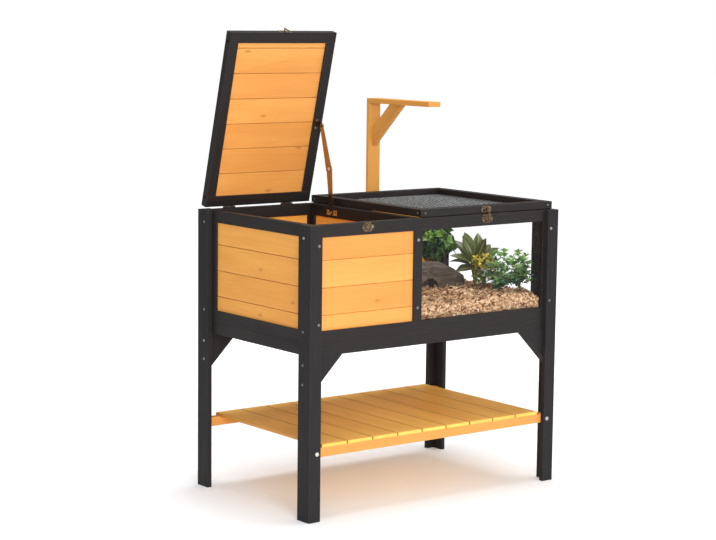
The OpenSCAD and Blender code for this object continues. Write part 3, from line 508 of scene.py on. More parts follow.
def build_chip_tones():
    """The mix of pale, tan and bark-brown wood in the bedding."""
    white = (1, 1, 1, 1)
    tree, given, made = effect(
        "Chip tones", {"Chance": 0.5, "Cream": white, "Tan": white, "Bark": white},
        "Color", "Height")
    streaks = place_in(tree).stretched(700.0, 300.0, 900.0).grains(1.0, 3.0, 0.6)
    lean = (streaks - 0.5).times_plus(0.35, given["Chance"])
    pale = lean.rise(0.20, 0.62).over(given["Cream"], given["Tan"])
    wire_up(made, {"Color": lean.rise(0.74, 0.95).over(pale, given["Bark"]),
                   "Height": streaks})


SHARED_EFFECTS = (build_timber_axes, build_board_joints, build_timber_figure,
                  build_arris_wear, build_dust, build_metal_wear, build_leaf_blade,
                  build_chip_tones)


# ---- Finishes ----------------------------------------------------------------

# Colours laid over a finish's own where it is worn, cut, wiped or dusty, and the floor's
# painted glow
BARE_PINE = (1.0, 0.62, 0.25)
PINE_DUST = (0.9, 0.85, 0.78)
PAINT_DUST = (0.30, 0.28, 0.25)
STONE_DUST = (0.50, 0.42, 0.34)
WIRE_DUST = (0.6, 0.6, 0.58)
PLY_RINGS = (0.42, 0.24, 0.10)
PLY_GLUE = (0.20, 0.10, 0.04)
PLY_EDGE = (0.75, 0.58, 0.36)
WIPED_GLASS = (0.85, 0.87, 0.86)
RUBBED_ZINC = (0.55, 0.52, 0.47)
DULL_BRASS = (0.36, 0.17, 0.05)
RUBBED_BRASS = (0.78, 0.52, 0.22)
BRIGHT_BRASS = (0.70, 0.48, 0.20)
GREEN_STEM, BROWN_STEM = (0.055, 0.085, 0.022), (0.10, 0.062, 0.028)
SPRIG_SHADE, SPRIG_VEIN = (0.10, 0.14, 0.010), (0.62, 0.50, 0.10)
FLOOR_GLOW, FAR_GLOW = (0.13, 0.13, 0.13), (0.62, 0.62, 0.62)

NO_JOINTS = 50.0        # a pitch longer than any timber
GLASS_IOR = 1.45
SPECK_TONE = 0.985      # the floor's specks against its own tone
# The stay's elbow pin, seen from the side, and the heights between which a painted shade
# darkens its foot
STAY_ELBOW = (0.0, 0.1433, 0.9422)
STAY_SHADED_FOOT = (0.888, 0.868)


def stained_pine(name, sizes, pine, knots, grain, across, pitch=NO_JOINTS, first=0.0,
                 panel=0.0, joint=0.0026):
    """Orange-stained pine boards with one grain and one row of dark joints, which on the
    shelf's slats are painted shade in the gaps.
    """
    material, tree = finish_of(name, Specular_IOR_Level=0.22)
    boards = use(tree, "Board joints", Pitch=pitch, First_joint=first, Panel=panel,
                 Joint_width=joint,
                 Vector=use(tree, "Timber axes", Grain=grain, Across=across)[0])
    figure = use(tree, "Timber figure", Vector=boards["Vector"], Knots=knots)
    base = (figure["Rings"] * 0.13).over(pine, sizes.late_wood)
    base = figure["Fibre"].rise(0.30, 0.75, 0.0, 0.30).over(base, sizes.late_wood)
    cloudy = boards["Vector"].stretched(2.5, 14.0, 14.0).grains()
    level = boards["Tone"].rise(0.0, 1.0, -0.030, 0.030) \
        + cloudy.rise(0.25, 0.75, -0.035, 0.035)
    shade = put(tree, "CombineColor", {0: 1.0 + level, 1: level.times_plus(1.9, 1.0),
                                       2: level.times_plus(2.6, 1.0)})[0]
    base = laid(1.0, base, shade, "MULTIPLY")
    base = (figure["Knot"] * 0.62).over(base, sizes.knot)
    # Dark joints; on the shelf's slats, painted shade in the gaps between slats.
    base = (boards["Joint"] * 0.55).over(base, sizes.knot)
    rubbed = use(tree, "Arris wear", Width=0.0016, Breakup=45.0)["Wear"]
    base = (rubbed * 0.25).over(base, BARE_PINE)
    dust = use(tree, "Dust", Amount=0.06)["Dust"]
    return dressed(material, (figure["Height"], 0.00022, 0.55),
                   Base_Color=dust.over(base, PINE_DUST),
                   Roughness=figure["Fibre"].rise(0.2, 0.8, 0.44, 0.58) + dust)


def black_paint(name, sizes, grain, across, paint, gloss):
    """Near-black paint that lets a little of the timber's grain through."""
    material, tree = finish_of(name, Specular_IOR_Level=gloss)
    axes = use(tree, "Timber axes", Grain=grain, Across=across)[0]
    figure = use(tree, "Timber figure", Vector=axes, Knots=0.10)
    wear = use(tree, "Arris wear", Width=0.0026, Breakup=70.0)["Wear"]
    base = figure["Fibre"].rise(0.35, 0.8, 0.0, 0.20).over(paint, sizes.rubbed)
    base = (wear * 0.75).over(base, sizes.rubbed)
    patchy = axes.stretched(5.0, 30.0, 30.0).grains(detail=3.0)
    return dressed(material, (figure["Height"], 0.00016, 0.6),
                   Base_Color=use(tree, "Dust", Amount=0.07)["Dust"].over(base, PAINT_DUST),
                   Roughness=patchy.rise(0.25, 0.75, 0.40, 0.54) + wear * 0.12)


def plywood(sizes):
    """A pale veneer, with the plies showing on the cut edges."""
    material, tree = finish_of("plywood")
    axes = use(tree, "Timber axes", Grain=ALONG_X, Across=ALONG_Y)[0]
    figure = use(tree, "Timber figure", Vector=axes, Knots=0.12)
    base = (figure["Rings"] * 0.4).over(sizes.ply, PLY_RINGS)
    glue = reckon("PINGPONG", axes.parts()[2], 0.0016).rise(0.0006, 0.0002)
    base = (glue * abs(facing_in(tree)[2]).rise(0.6, 0.3)).over(base, PLY_GLUE)
    wear = use(tree, "Arris wear", Width=0.002, Breakup=60.0)["Wear"]
    return dressed(material, (figure["Height"], 0.0003, 0.6),
                   Base_Color=(wear * 0.4).over(base, PLY_EDGE),
                   Roughness=figure["Fibre"].rise(0.2, 0.8, 0.55, 0.72))


def clear_pane(sizes):
    """A clear pane: it only shows where it mirrors, and where it was wiped."""
    material, tree = finish_of("clear_glazing", Metallic=1.0)
    wiped = place_in(tree).stretched(9.0, 9.0, 5.0).grains(1.0, 4.0, 0.6, 1.2)
    smudge = wiped.rise(0.52, 0.74)
    inside = put(tree, "NewGeometry")["Backfacing"]
    mirror = put(tree, "Fresnel", {
        "IOR": inside.times_plus(1 / GLASS_IOR - GLASS_IOR, GLASS_IOR)})[0]
    return dressed(material, Base_Color=smudge.over(sizes.sheen, WIPED_GLASS),
                   Roughness=wiped.rise(0.45, 0.8, 0.02, 0.22),
                   Alpha=smudge.times_plus(sizes.smudges, mirror * sizes.mirror, True))


def screw_plating(name, bright, dull):
    """Zinc plating that has dulled more on some screws than on others."""
    material, tree = finish_of(name, Metallic=0.6)
    marks = use(tree, "Metal wear", Mottle_size=500.0, Scratches=0.5)
    lean = tone_in(tree) + marks["Mottle"].rise(0.3, 0.7, -0.2, 0.2)
    edge = use(tree, "Arris wear", Width=0.0006, Breakup=300.0)["Wear"]
    base = (edge * 0.4).over(lean.rise(0.0, 1.0).over(bright, dull), RUBBED_ZINC)
    return dressed(material, (marks["Height"], 0.00005, 0.5), Base_Color=base,
                   Roughness=lean.rise(0, 1, 0.38, 0.60))


def worn_metal(name, bright, dark, share_dark, rough, metallic, mottle):
    """Plated or cast metal with tarnish in its hollows and bright rubbed edges."""
    material, tree = finish_of(name, Metallic=metallic)
    marks = use(tree, "Metal wear", Mottle_size=mottle, Scratches=0.6)
    edge = use(tree, "Arris wear", Width=0.0009, Breakup=200.0)["Wear"]
    dull = marks["Mottle"].rise(0.62 - share_dark * 0.4, 0.72)
    scratched, rubbed = (tuple(min(1.0, part * gain) for part in bright)
                         for gain in (1.5, 1.7))
    base = marks["Scratch"].over((dull * 0.8).over(bright, dark), scratched)
    return dressed(material, (marks["Height"], 0.00006, 0.5),
                   Base_Color=(edge * 0.7).over(base, rubbed),
                   Roughness=dull.times_plus(0.22, rough))


def cast_latch(sizes):
    """Antique brass with a cast pattern, dark in its hollows."""
    material, tree = finish_of("antique_brass", Metallic=0.8)
    marks = use(tree, "Metal wear", Mottle_size=600.0, Scratches=0.4)
    turns = place_in(tree).cells(230.0, feature="DISTANCE_TO_EDGE")["Distance"]
    rings = reckon("PINGPONG", turns * 2.2, 0.5)
    raised = marks["Mottle"].times_plus(0.25, rings).rise(0.44, 0.60)
    edge = use(tree, "Arris wear", Width=0.0008, Breakup=300.0)["Wear"]
    shine = reckon("MAXIMUM", raised, edge)
    return dressed(material, (raised, 0.0006, 0.8),
                   Base_Color=shine.over(sizes.tarnish_and_shade, sizes.crests),
                   Roughness=shine.rise(0.0, 1.0, 0.62, 0.30))


def aged_and_shaded_stay(sizes):
    """The stay's brass, its foot darkened as painted shade and a darker ring round its
    elbow, with a bright rivet at its elbow.
    """
    material, tree = finish_of("aged_and_shaded_stay", Metallic=0.55)
    marks = use(tree, "Metal wear", Mottle_size=260.0, Scratches=0.4)
    edge = use(tree, "Arris wear", Width=0.0012, Breakup=120.0)["Wear"]
    place = place_in(tree)
    # Painted shade: below the elbow the stay's foot darkens to the tarnish colour.
    foot = marks["Mottle"].times_plus(0.02, place.parts()[2]).rise(*STAY_SHADED_FOOT)
    pin = on_vectors("DISTANCE", place.stretched(0.0, 1.0, 1.0), STAY_ELBOW)
    rivet, ring = pin.rise(0.0062, 0.0056), pin.rise(0.0100, 0.0065)
    dull = marks["Mottle"].rise(0.50, 0.75, 0.0, 0.55)
    base = reckon("MAXIMUM", foot, ring * 0.7).over(dull.over(sizes.brass, DULL_BRASS),
                                                    sizes.tarnish_and_shade)
    base = (edge * 0.35).over(rivet.over(base, sizes.nickel), RUBBED_BRASS)
    return dressed(material, (marks["Height"], 0.00006, 0.5), Base_Color=base,
                   Roughness=dull.times_plus(0.3, 0.40))


def galvanised_wire(sizes):
    """Zinc-dipped wire with a mottled bloom that darkens and roughens it, and painted shade
    and highlight that rise and fall along the wires as if they crimped over and under.
    """
    material, tree = finish_of("galvanised_wire", Metallic=0.7)
    marks = use(tree, "Metal wear", Mottle_size=160.0, Scratches=0.2)
    place = place_in(tree).parts()
    # Painted shade and highlight: a crossing sine pattern darkens and lightens the wire as
    # if it crimped over and under.
    painted_crimp_shade = reckon("SINE", place[0] * 320.0) * reckon("SINE", place[1] * 110.0)
    mottle_and_crimp_shade = painted_crimp_shade.times_plus(0.55, marks["Mottle"].rise(0.3, 0.7), True)
    base = mottle_and_crimp_shade.over(sizes.wire, tuple(part * 0.22 for part in sizes.wire))
    return dressed(material, (marks["Height"], 0.00008, 0.5),
                   Base_Color=use(tree, "Dust", Amount=0.2)["Dust"].over(base, WIRE_DUST),
                   Roughness=mottle_and_crimp_shade.rise(0, 1, 0.34, 0.55))


def wood_chips(name, sizes, loose):
    """Loose chips, or the packed layer under them with painted shade in the gaps between its
    chips.
    """
    material, tree = finish_of(name, Specular_IOR_Level=0.25, Roughness=0.8)
    if loose:
        chance = tone_in(tree)
    else:
        cells = place_in(tree).stretched(120.0, 170.0, 260.0).cells()
        chance = first_of(cells["Color"])
    tones = use(tree, "Chip tones", Chance=chance, Cream=rgba(sizes.cream),
                Tan=rgba(sizes.tan), Bark=rgba(sizes.bark_and_gap_shade))
    base = tones["Color"]
    if not loose:
        # Painted shade: the packed layer darkens towards the bark colour away from each
        # chip's middle, as shade in the gaps.
        base = cells["Distance"].rise(0.25, 0.70, 0.0, 0.40).over(base, sizes.bark_and_gap_shade)
    return dressed(material, (tones["Height"], 0.0003, 0.7), Base_Color=base,
                   Roughness=tones["Height"].rise(0.3, 0.7, 0.68, 0.9))


def rough_stone(sizes):
    """Brown-grey rock, darker in its hollows and dry on its crests."""
    material, tree = finish_of("rough_stone", Specular_IOR_Level=0.3)
    place = place_in(tree)
    beds = place.stretched(8.0, 8.0, 46.0).grains(1.0, 5.0, 0.6, 0.6)
    grit = place.grains(420.0, 5.0, 0.7)
    cracks = place.stretched(26.0, 26.0, 60.0).cells(feature="DISTANCE_TO_EDGE")
    crack = beds.times_plus(0.10, cracks["Distance"]).rise(0.085, 0.055)
    crest = put(tree, "NewGeometry")["Pointiness"]
    base = beds.rise(0.35, 0.65).over(sizes.seam, sizes.stone)
    base = grit.rise(0.45, 0.70, 0.0, 0.5).over(base, sizes.dry)
    base = crest.rise(0.50, 0.56, 0.0, 0.55).over(base, sizes.dry)
    base = (crack * 0.75).over(base, sizes.seam)
    return dressed(material, (beds.times_plus(1.4, grit) - crack, 0.0018, 0.8),
                   Base_Color=use(tree, "Dust", Amount=0.35)["Dust"].over(base, STONE_DUST),
                   Roughness=grit.rise(0.3, 0.7, 0.62, 0.9))


def leaf_finish(name, pale_leaf, dark_leaf, vein, veins, midrib, rim=0.0, patches=0.0):
    """A leaf's skin: its tone, its veins and, on marked leaves, its rim."""
    material, tree = finish_of(name, Subsurface_Weight=0.12, Subsurface_Scale=0.002,
                               Coat_Weight=0.12, Coat_Roughness=0.3)
    blade = use(tree, "Leaf blade", Veins=veins, Midrib_width=midrib,
                Vector=put(tree, "UVMap", uv_map="blade")[0])
    mottle = place_in(tree).grains(160.0, 4.0, 0.65)
    lean = tone_in(tree) + mottle.rise(0.3, 0.7, -0.15 - patches, 0.15 + patches)
    base = lean.rise(0.1, 0.9).over(dark_leaf, pale_leaf)
    marks = reckon("MAXIMUM", blade["Midrib"], blade["Veins"] * 0.35)
    base = (marks * 0.75).over(base, vein)
    return dressed(material, (blade["Height"], 0.0003, 0.6),
                   Base_Color=(blade["Rim"] * rim).over(base, vein),
                   Roughness=mottle.rise(0.3, 0.7, 0.30, 0.48))


def stem_finish():
    """Green-brown plant stems."""
    material, tree = finish_of("plant_stem")
    streaks = place_in(tree).stretched(500.0, 500.0, 60.0).grains(detail=3.0)
    return dressed(material, (streaks, 0.0003, 0.6),
                   Base_Color=streaks.rise(0.35, 0.65).over(GREEN_STEM, BROWN_STEM),
                   Roughness=streaks.rise(0.3, 0.7, 0.45, 0.65))


def studio_floor(sizes):
    """A matt white sweep with a painted glow, seen by the camera alone, that lifts the
    shadow under the cabinet and brightens the floor away from it.
    """
    material, tree = finish_of("studio_floor", Specular_IOR_Level=0.15,
                               Emission_Strength=1.0)
    place = place_in(tree)
    speck = place.grains(35.0, 3.0)
    painted_glow = on_vectors("LENGTH", place).rise(0.8, 2.8) \
        * put(tree, "LightPath")["Is Camera Ray"]
    specked = tuple(part * SPECK_TONE for part in sizes.floor)
    return dressed(material, Base_Color=speck.rise(0.3, 0.7).over(sizes.floor, specked),
                   Roughness=speck.rise(0.3, 0.7, 0.62, 0.72),
                   Emission_Color=painted_glow.over(FLOOR_GLOW, FAR_GLOW))


# ---- Dressing the frame's own nodes ------------------------------------------

def clothe(names, material, arris=None):
    """Gives nodes a finish and, with an arris, rounds their edges."""
    for name in names:
        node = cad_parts[name]
        if not node.material_slots:
            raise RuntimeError(f"{name} has no material slot to fill")
        for slot in node.material_slots:
            slot.link = "OBJECT"
            slot.material = material
        if arris:
            node.modifiers.new("Join", "WELD").merge_threshold = WELD_GAP
            rounding = node.modifiers.new("Arris", "BEVEL")
            rounding.width, rounding.segments = arris, 2
            rounding.limit_method = "ANGLE"
            rounding.angle_limit = SHARP
            rounding.harden_normals = True


# ---- Making new pieces -------------------------------------------------------

def piece(name, mesh, material, node, body="cabinet"):
    """A new object that rides on a body and stands for a CAD node."""
    made = bpy.data.objects.new(name, mesh)
    bpy.context.scene.collection.objects.link(made)
    mesh.materials.append(material)
    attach(made, body)
    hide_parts(node)


def mesh_of(name, points, faces, tones=None, blades=None, smooth=True):
    """A mesh from arrays, with a tone for each point and a place on the blade."""
    mesh = bpy.data.meshes.new(name)
    mesh.vertices.add(len(points))
    mesh.vertices.foreach_set("co", np.asarray(points, np.float32).ravel())
    faces = np.asarray(faces, np.int32)
    mesh.loops.add(faces.size)
    mesh.loops.foreach_set("vertex_index", faces.ravel())
    mesh.polygons.add(len(faces))
    mesh.polygons.foreach_set("loop_start",
                              np.arange(0, faces.size, faces.shape[1], dtype=np.int32))
    mesh.polygons.foreach_set("use_smooth", np.full(len(faces), smooth))
    mesh.update(calc_edges=True)
    if tones is not None:
        mesh.attributes.new("tone", "FLOAT", "POINT").data.foreach_set(
            "value", np.asarray(tones, np.float32))
    if blades is not None:
        mesh.uv_layers.new(name="blade").data.foreach_set(
            "uv", np.asarray(blades, np.float32)[faces.ravel()].ravel())
    mesh.validate()
    return mesh


def around(angle, reach=1.0, height=0.0):
    """The place at a height and a reach from the middle, in a direction seen from above."""
    return np.array((math.cos(angle) * reach, math.sin(angle) * reach, height))


def grid_faces(rows, columns, start=0):
    """The faces of a grid of points, row after row."""
    first = (np.arange(rows - 1)[:, None] * columns + np.arange(columns - 1)).ravel()
    return np.stack([first, first + 1, first + columns + 1, first + columns], 1) + start


def joined(shapes):
    """Several shapes, each its points and faces, as one."""
    points, faces = zip(*shapes)
    starts = np.cumsum([0] + [len(part) for part in points])
    return np.concatenate(points), np.concatenate(
        [part + start for part, start in zip(faces, starts)])


# ---- Bedding -----------------------------------------------------------------

SILL_TOP = 0.535        # the top of the rails under the windows
PANE_GAP = 0.0022       # from a pane's inner face to the bedding
WALL_GAP = 0.001        # from a wall to the bedding
FLOOR_GAP = 0.0005      # from the floor to the bedding
SILL_ENDS = (0.016, 0.012)  # what the sill's tongue leaves free at its left and right
CHIP_CORNERS = np.array([(i / 2 - 0.5, j - 0.5, k - 0.5)
                         for i in range(3) for j in range(2) for k in range(2)])
CHIP_FACES = np.array([
    (1, 5, 7, 3), (5, 9, 11, 7), (0, 2, 6, 4), (4, 6, 10, 8), (0, 4, 5, 1),
    (4, 8, 9, 5), (2, 3, 7, 6), (6, 7, 11, 10), (0, 1, 3, 2), (8, 10, 11, 9)])


def chip_points(rng, places, facing, sizes):
    """Curled chips, one at each place, lying across facing."""
    many = len(places)
    corners = np.repeat(CHIP_CORNERS[None], many, 0)
    corners += rng.normal(0, 0.10, corners.shape) * (1, 1, 0.2)
    scale = np.stack([sizes.chip_length * rng.uniform(0.45, 1.55, many),
                      sizes.chip_width * rng.uniform(0.45, 1.5, many),
                      rng.uniform(0.0007, 0.0016, many)], 1)
    corners *= scale[:, None, :]
    curl = rng.uniform(-9.0, 16.0, many)
    corners[:, :, 2] += curl[:, None] * corners[:, :, 0] ** 2
    lean = rng.normal(0, 0.26, (many, 2))
    turn = rng.uniform(0, math.pi * 2, many)
    upright = facing[:, 2] < 0.5
    turn[upright] = rng.normal(0, 0.50, upright.sum())
    frames = np.empty((many, 3, 3))
    for i in range(many):
        out = Vector(facing[i]) + Vector((*lean[i], lean[i, 0] - lean[i, 1]))
        frames[i] = np.array(out.to_track_quat("Z", "Y").to_matrix()
                             @ Matrix.Rotation(turn[i], 3, "Z"))
    return np.einsum("nij,nkj->nki", frames, corners) + places[:, None, :]


class Bed:
    """The bedding's bounds inside the walls, the shape of its top and its parts."""

    def __init__(self, sizes):
        self.sizes, self.rng = sizes, np.random.default_rng(11)
        low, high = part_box("bedding")
        pane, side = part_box("front_window"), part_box("right_window")
        self.floor, self.top = low.z + FLOOR_GAP, high.z
        self.x0, self.x1 = low.x + WALL_GAP, high.x - WALL_GAP
        self.y0, self.y1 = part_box("front_rails")[1].y + WALL_GAP, high.y - WALL_GAP
        self.sill_y = pane[1].y + PANE_GAP
        self.sill_x = (pane[0].x + SILL_ENDS[0], side[0].x - PANE_GAP - SILL_ENDS[1])

    def swell(self, x, y):
        """Rise and fall of the top, and its fall to the front corner."""
        waves = (0.45 * np.sin(x * 21.0 + 1.3) * np.cos(y * 17.0 - 0.6)
                 + 0.35 * np.sin(x * 47.0 - y * 31.0) + 0.5 * np.sin(y * 9.0 + x * 13.0))
        reach = np.hypot(x - self.x1, y - self.y0)
        near = np.clip(1 - reach / self.sizes.slope_width, 0, 1)
        return self.sizes.swell * waves - self.sizes.slope_fall * near ** 1.3

    def layer(self):
        """The packed layer between the walls."""
        steps_x, steps_y = 96, 100
        x, y = np.meshgrid(np.linspace(self.x0, self.x1, steps_x),
                           np.linspace(self.y0, self.y1, steps_y))
        z = self.top - 0.004 + self.swell(x, y) + self.rng.normal(0, 0.0009, x.shape)
        upper = np.stack([x, y, z], 2).reshape(-1, 3)
        lower = upper.copy()
        lower[:, 2] = self.floor
        under = len(upper)
        number = np.arange(under).reshape(steps_y, steps_x)
        rim = np.concatenate([number[0], number[1:, -1], number[-1, -2::-1],
                              number[-2:0:-1, 0]])
        onward = np.roll(rim, -1)
        return mesh_of("bedding_layer", np.concatenate([upper, lower]), np.concatenate([
            grid_faces(steps_y, steps_x),
            grid_faces(steps_y, steps_x, under)[:, (0, 3, 2, 1)],
            np.stack([rim, rim + under, onward + under, onward], 1)]))

    def tongue(self):
        """The tongue of bedding on the front sill, up to the window."""
        steps = 120
        along = np.linspace(*self.sill_x, steps)
        outer, inner = self.y0 + 0.003, self.sill_y + 0.001
        lines = [(y, self.top - drop + self.swell(along, y)
                  + self.rng.normal(0, 0.0008, steps))
                 for y, drop in ((outer, 0.003), (inner + 0.005, 0.003), (inner, 0.006))]
        lines += [(inner, SILL_TOP), (outer, SILL_TOP)]
        points = [np.stack(np.broadcast_arrays(along, y, z), 1) for y, z in lines]
        number = np.arange(len(lines) * steps).reshape(-1, steps)
        after = np.roll(number, -1, 0)
        return mesh_of("bedding_on_sill", np.concatenate(points), np.stack(
            [number[:, :-1], after[:, :-1], after[:, 1:], number[:, 1:]],
            2).reshape(-1, 4))

    def strewn(self):
        """Where the loose chips lie, and the way that each one faces."""
        rng, sizes, low, high = self.rng, self.sizes, *self.sill_x
        x = rng.uniform(self.x0 + 0.006, self.x1 - 0.006, sizes.chips)
        y = rng.uniform(self.sill_y + 0.004, self.y1 - 0.006, sizes.chips)
        y = np.where(x < low, np.clip(y, self.y0 + 0.006, None), y)
        z = self.top - 0.003 + self.swell(x, y) + rng.exponential(0.0016, sizes.chips)
        lots = [(x, y, z, (0.0, 0.0, 1.0))]
        front = sizes.window_chips // 2
        x = rng.uniform(low + 0.004, high - 0.004, front)
        foot = SILL_TOP + 0.003
        z = foot + rng.uniform(0, 1, front) * (self.top - foot
                                               + self.swell(x, self.sill_y))
        lots.append((x, self.sill_y + 0.003, z, (0.0, -1.0, 0.0)))
        right = sizes.window_chips - front
        y = rng.uniform(self.y0 + 0.008, self.y1 - 0.02, right)
        z = SILL_TOP + rng.uniform(0, 1, right) * (self.top - SILL_TOP
                                                   + self.swell(self.x1, y))
        lots.append((self.x1 - 0.003, y, z, (1.0, 0.0, 0.0)))
        return (np.concatenate([np.stack(np.broadcast_arrays(*place), 1)
                                for *place, _ in lots]),
                np.concatenate([np.tile(out, (len(z), 1)) for _, _, z, out in lots]))

    def chips(self):
        """The loose chips. None reaches through a pane or a wall."""
        places, facing = self.strewn()
        points = chip_points(self.rng, places, facing, self.sizes)
        points[..., 1] = np.clip(points[..., 1], self.sill_y - 0.0012, self.y1)
        points[..., 0] = np.clip(points[..., 0], self.x0, self.x1 + 0.0004)
        many, corners = points.shape[:2]
        faces = CHIP_FACES[None] + np.arange(many)[:, None, None] * corners
        tones = np.repeat(self.rng.uniform(0, 1, many), corners)
        return mesh_of("bedding_chips", points.reshape(-1, 3), faces.reshape(-1, 4), tones,
                       smooth=False)


def lay_bedding(sizes):
    """A packed layer with loose chips on its top and against both windows."""
    bed = Bed(sizes)
    packed, loose = (wood_chips(name, sizes, name == "loose_chips")
                     for name in ("packed_chips", "loose_chips"))
    for name, mesh, chips in (("bedding_layer", bed.layer(), packed),
                              ("bedding_on_sill", bed.tongue(), packed),
                              ("bedding_chips", bed.chips(), loose)):
        piece(name, mesh, chips, "bedding")


# ---- Rock hide ---------------------------------------------------------------

def shape_rock(sizes):
    """Remeshes the rock's solid finely and weathers it."""
    copy = bpy.data.objects.new("rock_blank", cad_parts["rock_hide"].data.copy())
    bpy.context.scene.collection.objects.link(copy)
    copy.modifiers.new("Join", "WELD").merge_threshold = WELD_GAP
    fine = copy.modifiers.new("Skin", "REMESH")
    fine.mode, fine.voxel_size = "VOXEL", sizes.voxel
    even = copy.modifiers.new("Even", "SMOOTH")
    even.factor, even.iterations = 0.6, 8
    worked_out = copy.evaluated_get(bpy.context.evaluated_depsgraph_get())
    mesh = bpy.data.meshes.new_from_object(worked_out)
    blank = copy.data
    bpy.data.objects.remove(copy)
    bpy.data.meshes.remove(blank)
    mesh.name = "rock_hide_stone"
    points, normals = np.empty((2, len(mesh.vertices) * 3), np.float32)
    mesh.vertices.foreach_get("co", points)
    mesh.vertex_normals.foreach_get("vector", normals)
    points, normals = points.reshape(-1, 3), normals.reshape(-1, 3)
    for i, place in enumerate(points):
        spot = Vector(place)
        beds = noise.fractal(Vector((spot.x * 14, spot.y * 14, spot.z * 40)), 0.9, 2.1, 4)
        ridge = noise.ridged_multi_fractal(spot * 26, 1.0, 2.2, 4, 1.0, 2.0) - 1.2
        height = sizes.lumps * (0.62 * beds + 0.24 * ridge) - sizes.lumps * 0.25
        points[i] += normals[i] * height
    points[:, 2] = np.maximum(points[:, 2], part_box("rock_hide")[0].z - 0.004)
    mesh.vertices.foreach_set("co", points.ravel())
    mesh.polygons.foreach_set("use_smooth", np.full(len(mesh.polygons), True))
    mesh.materials.clear()
    mesh.update()
    piece("rock_hide_stone", mesh, rough_stone(sizes), "rock_hide")


# ---- Plants ------------------------------------------------------------------

BLADE_ROWS, BLADE_ACROSS = 7, (-1.0, -0.5, 0.0, 0.5, 1.0)
BLADE_FACES = grid_faces(BLADE_ROWS + 1, len(BLADE_ACROSS))
# From one branch, tuft or leaf to the next: shares of a turn, and an angle
BRANCH_TURN, TUFT_TURN, LEAF_ANGLE = 0.618, 0.618034, 2.4
ROOT_DEPTH = 0.002      # how deep a plant's foot stands in the bedding


def leaf_blade(size, width, fold, droop, belly):
    """One leaf from its stalk along +Y: its points and their place on the blade."""
    points, places = [], []
    y = z = 0.0
    for r in range(BLADE_ROWS + 1):
        t = r / BLADE_ROWS
        half = 0.5 * width * max(0.05, math.sin(math.pi * min(t ** belly, 1.0)) ** 0.8)
        for u in BLADE_ACROSS:
            points.append((u * half, y, z + abs(u) * half * fold))
            places.append((u * 0.5 + 0.5, t))
        bend = droop * (t + 0.5 / BLADE_ROWS)
        y += size / BLADE_ROWS * math.cos(bend)
        z -= size / BLADE_ROWS * math.sin(bend)
    return np.array(points), np.array(places)


def stem_path(foot, tip, lift, steps=7):
    """A stem that leaves its foot upright and bends out to its tip."""
    t = np.linspace(0, 1, steps)[:, None]
    return (1 - t) ** 2 * foot + 2 * t * (1 - t) * (foot + (0, 0, lift)) + t ** 2 * tip


class Growth:
    """Collects one plant's leaves and stems."""

    def __init__(self, seed):
        self.rng = np.random.default_rng(seed)
        self.leaves, self.stems = [], []

    def leaf(self, place, ahead, up, size, width, tone, fold=0.35, droop=0.7, belly=0.9):
        """One leaf that points ahead, its face turned to up."""
        ahead = ahead / np.linalg.norm(ahead)
        side = np.cross(ahead, up)
        side = side / max(np.linalg.norm(side), 1e-6)
        points, places = leaf_blade(size, width, fold, droop, belly)
        points = points @ np.array([side, ahead, np.cross(side, ahead)]) + place
        self.leaves.append((points, places, tone))

    def stem(self, path, thick, thin, sides=6):
        """One tapering stem along a path."""
        points = []
        for i, place in enumerate(path):
            ahead = Vector(path[min(i + 1, len(path) - 1)] - path[max(i - 1, 0)])
            turn = np.array(ahead.to_track_quat("Z", "Y").to_matrix())
            radius = thick + (thin - thick) * i / (len(path) - 1)
            points += [turn @ around(math.tau * k / sides, radius) + place
                       for k in range(sides)]
        number = np.arange(len(points)).reshape(-1, sides)
        onward = np.roll(number, -1, 1)
        self.stems.append((np.array(points), np.stack(
            [number[:-1], onward[:-1], onward[1:], number[1:]], 2).reshape(-1, 4)))

    def rosette(self, place, axis, leaves, size, width, tone, opening=1.15, droop=0.8,
                belly=0.9):
        """A tuft of leaves that opens about an axis, its youngest leaves in the middle."""
        rng = self.rng
        axis = axis / np.linalg.norm(axis)
        across = np.cross(axis, (0.31, 0.21, 0.93))
        across = across / np.linalg.norm(across)
        begin = rng.uniform(0, math.tau)
        for n in range(leaves):
            inner = n / leaves
            lean = opening * (1 - 0.70 * inner) + rng.normal(0, 0.12)
            turn = begin + LEAF_ANGLE * n + rng.normal(0, 0.15)
            out = np.array(Matrix.Rotation(turn, 3, Vector(axis))) @ across
            ahead = out * math.sin(lean) + axis * math.cos(lean)
            face = axis * math.sin(lean) - out * math.cos(lean)
            grow = (1 - 0.40 * inner) * rng.uniform(0.85, 1.12)
            self.leaf(place + out * 0.0012, ahead, face + rng.normal(0, 0.15, 3),
                      size * grow, width * grow,
                      min(1.0, max(0.0, tone + 0.30 * inner + rng.normal(0, 0.10))),
                      droop=droop * rng.uniform(0.4, 1.3), belly=belly)

    def finish(self, name, leaf_material, stem_material, node):
        """Makes the foliage and the stems, which stand for the plant's solid."""
        blades, places, tones = zip(*self.leaves)
        foliage = mesh_of(name + "_foliage", *joined([(one, BLADE_FACES) for one in blades]),
                          np.repeat(tones, len(blades[0])), np.concatenate(places))
        piece(name + "_foliage", foliage, leaf_material, node)
        piece(name + "_stems", mesh_of(name + "_stems", *joined(self.stems)),
              stem_material, node)


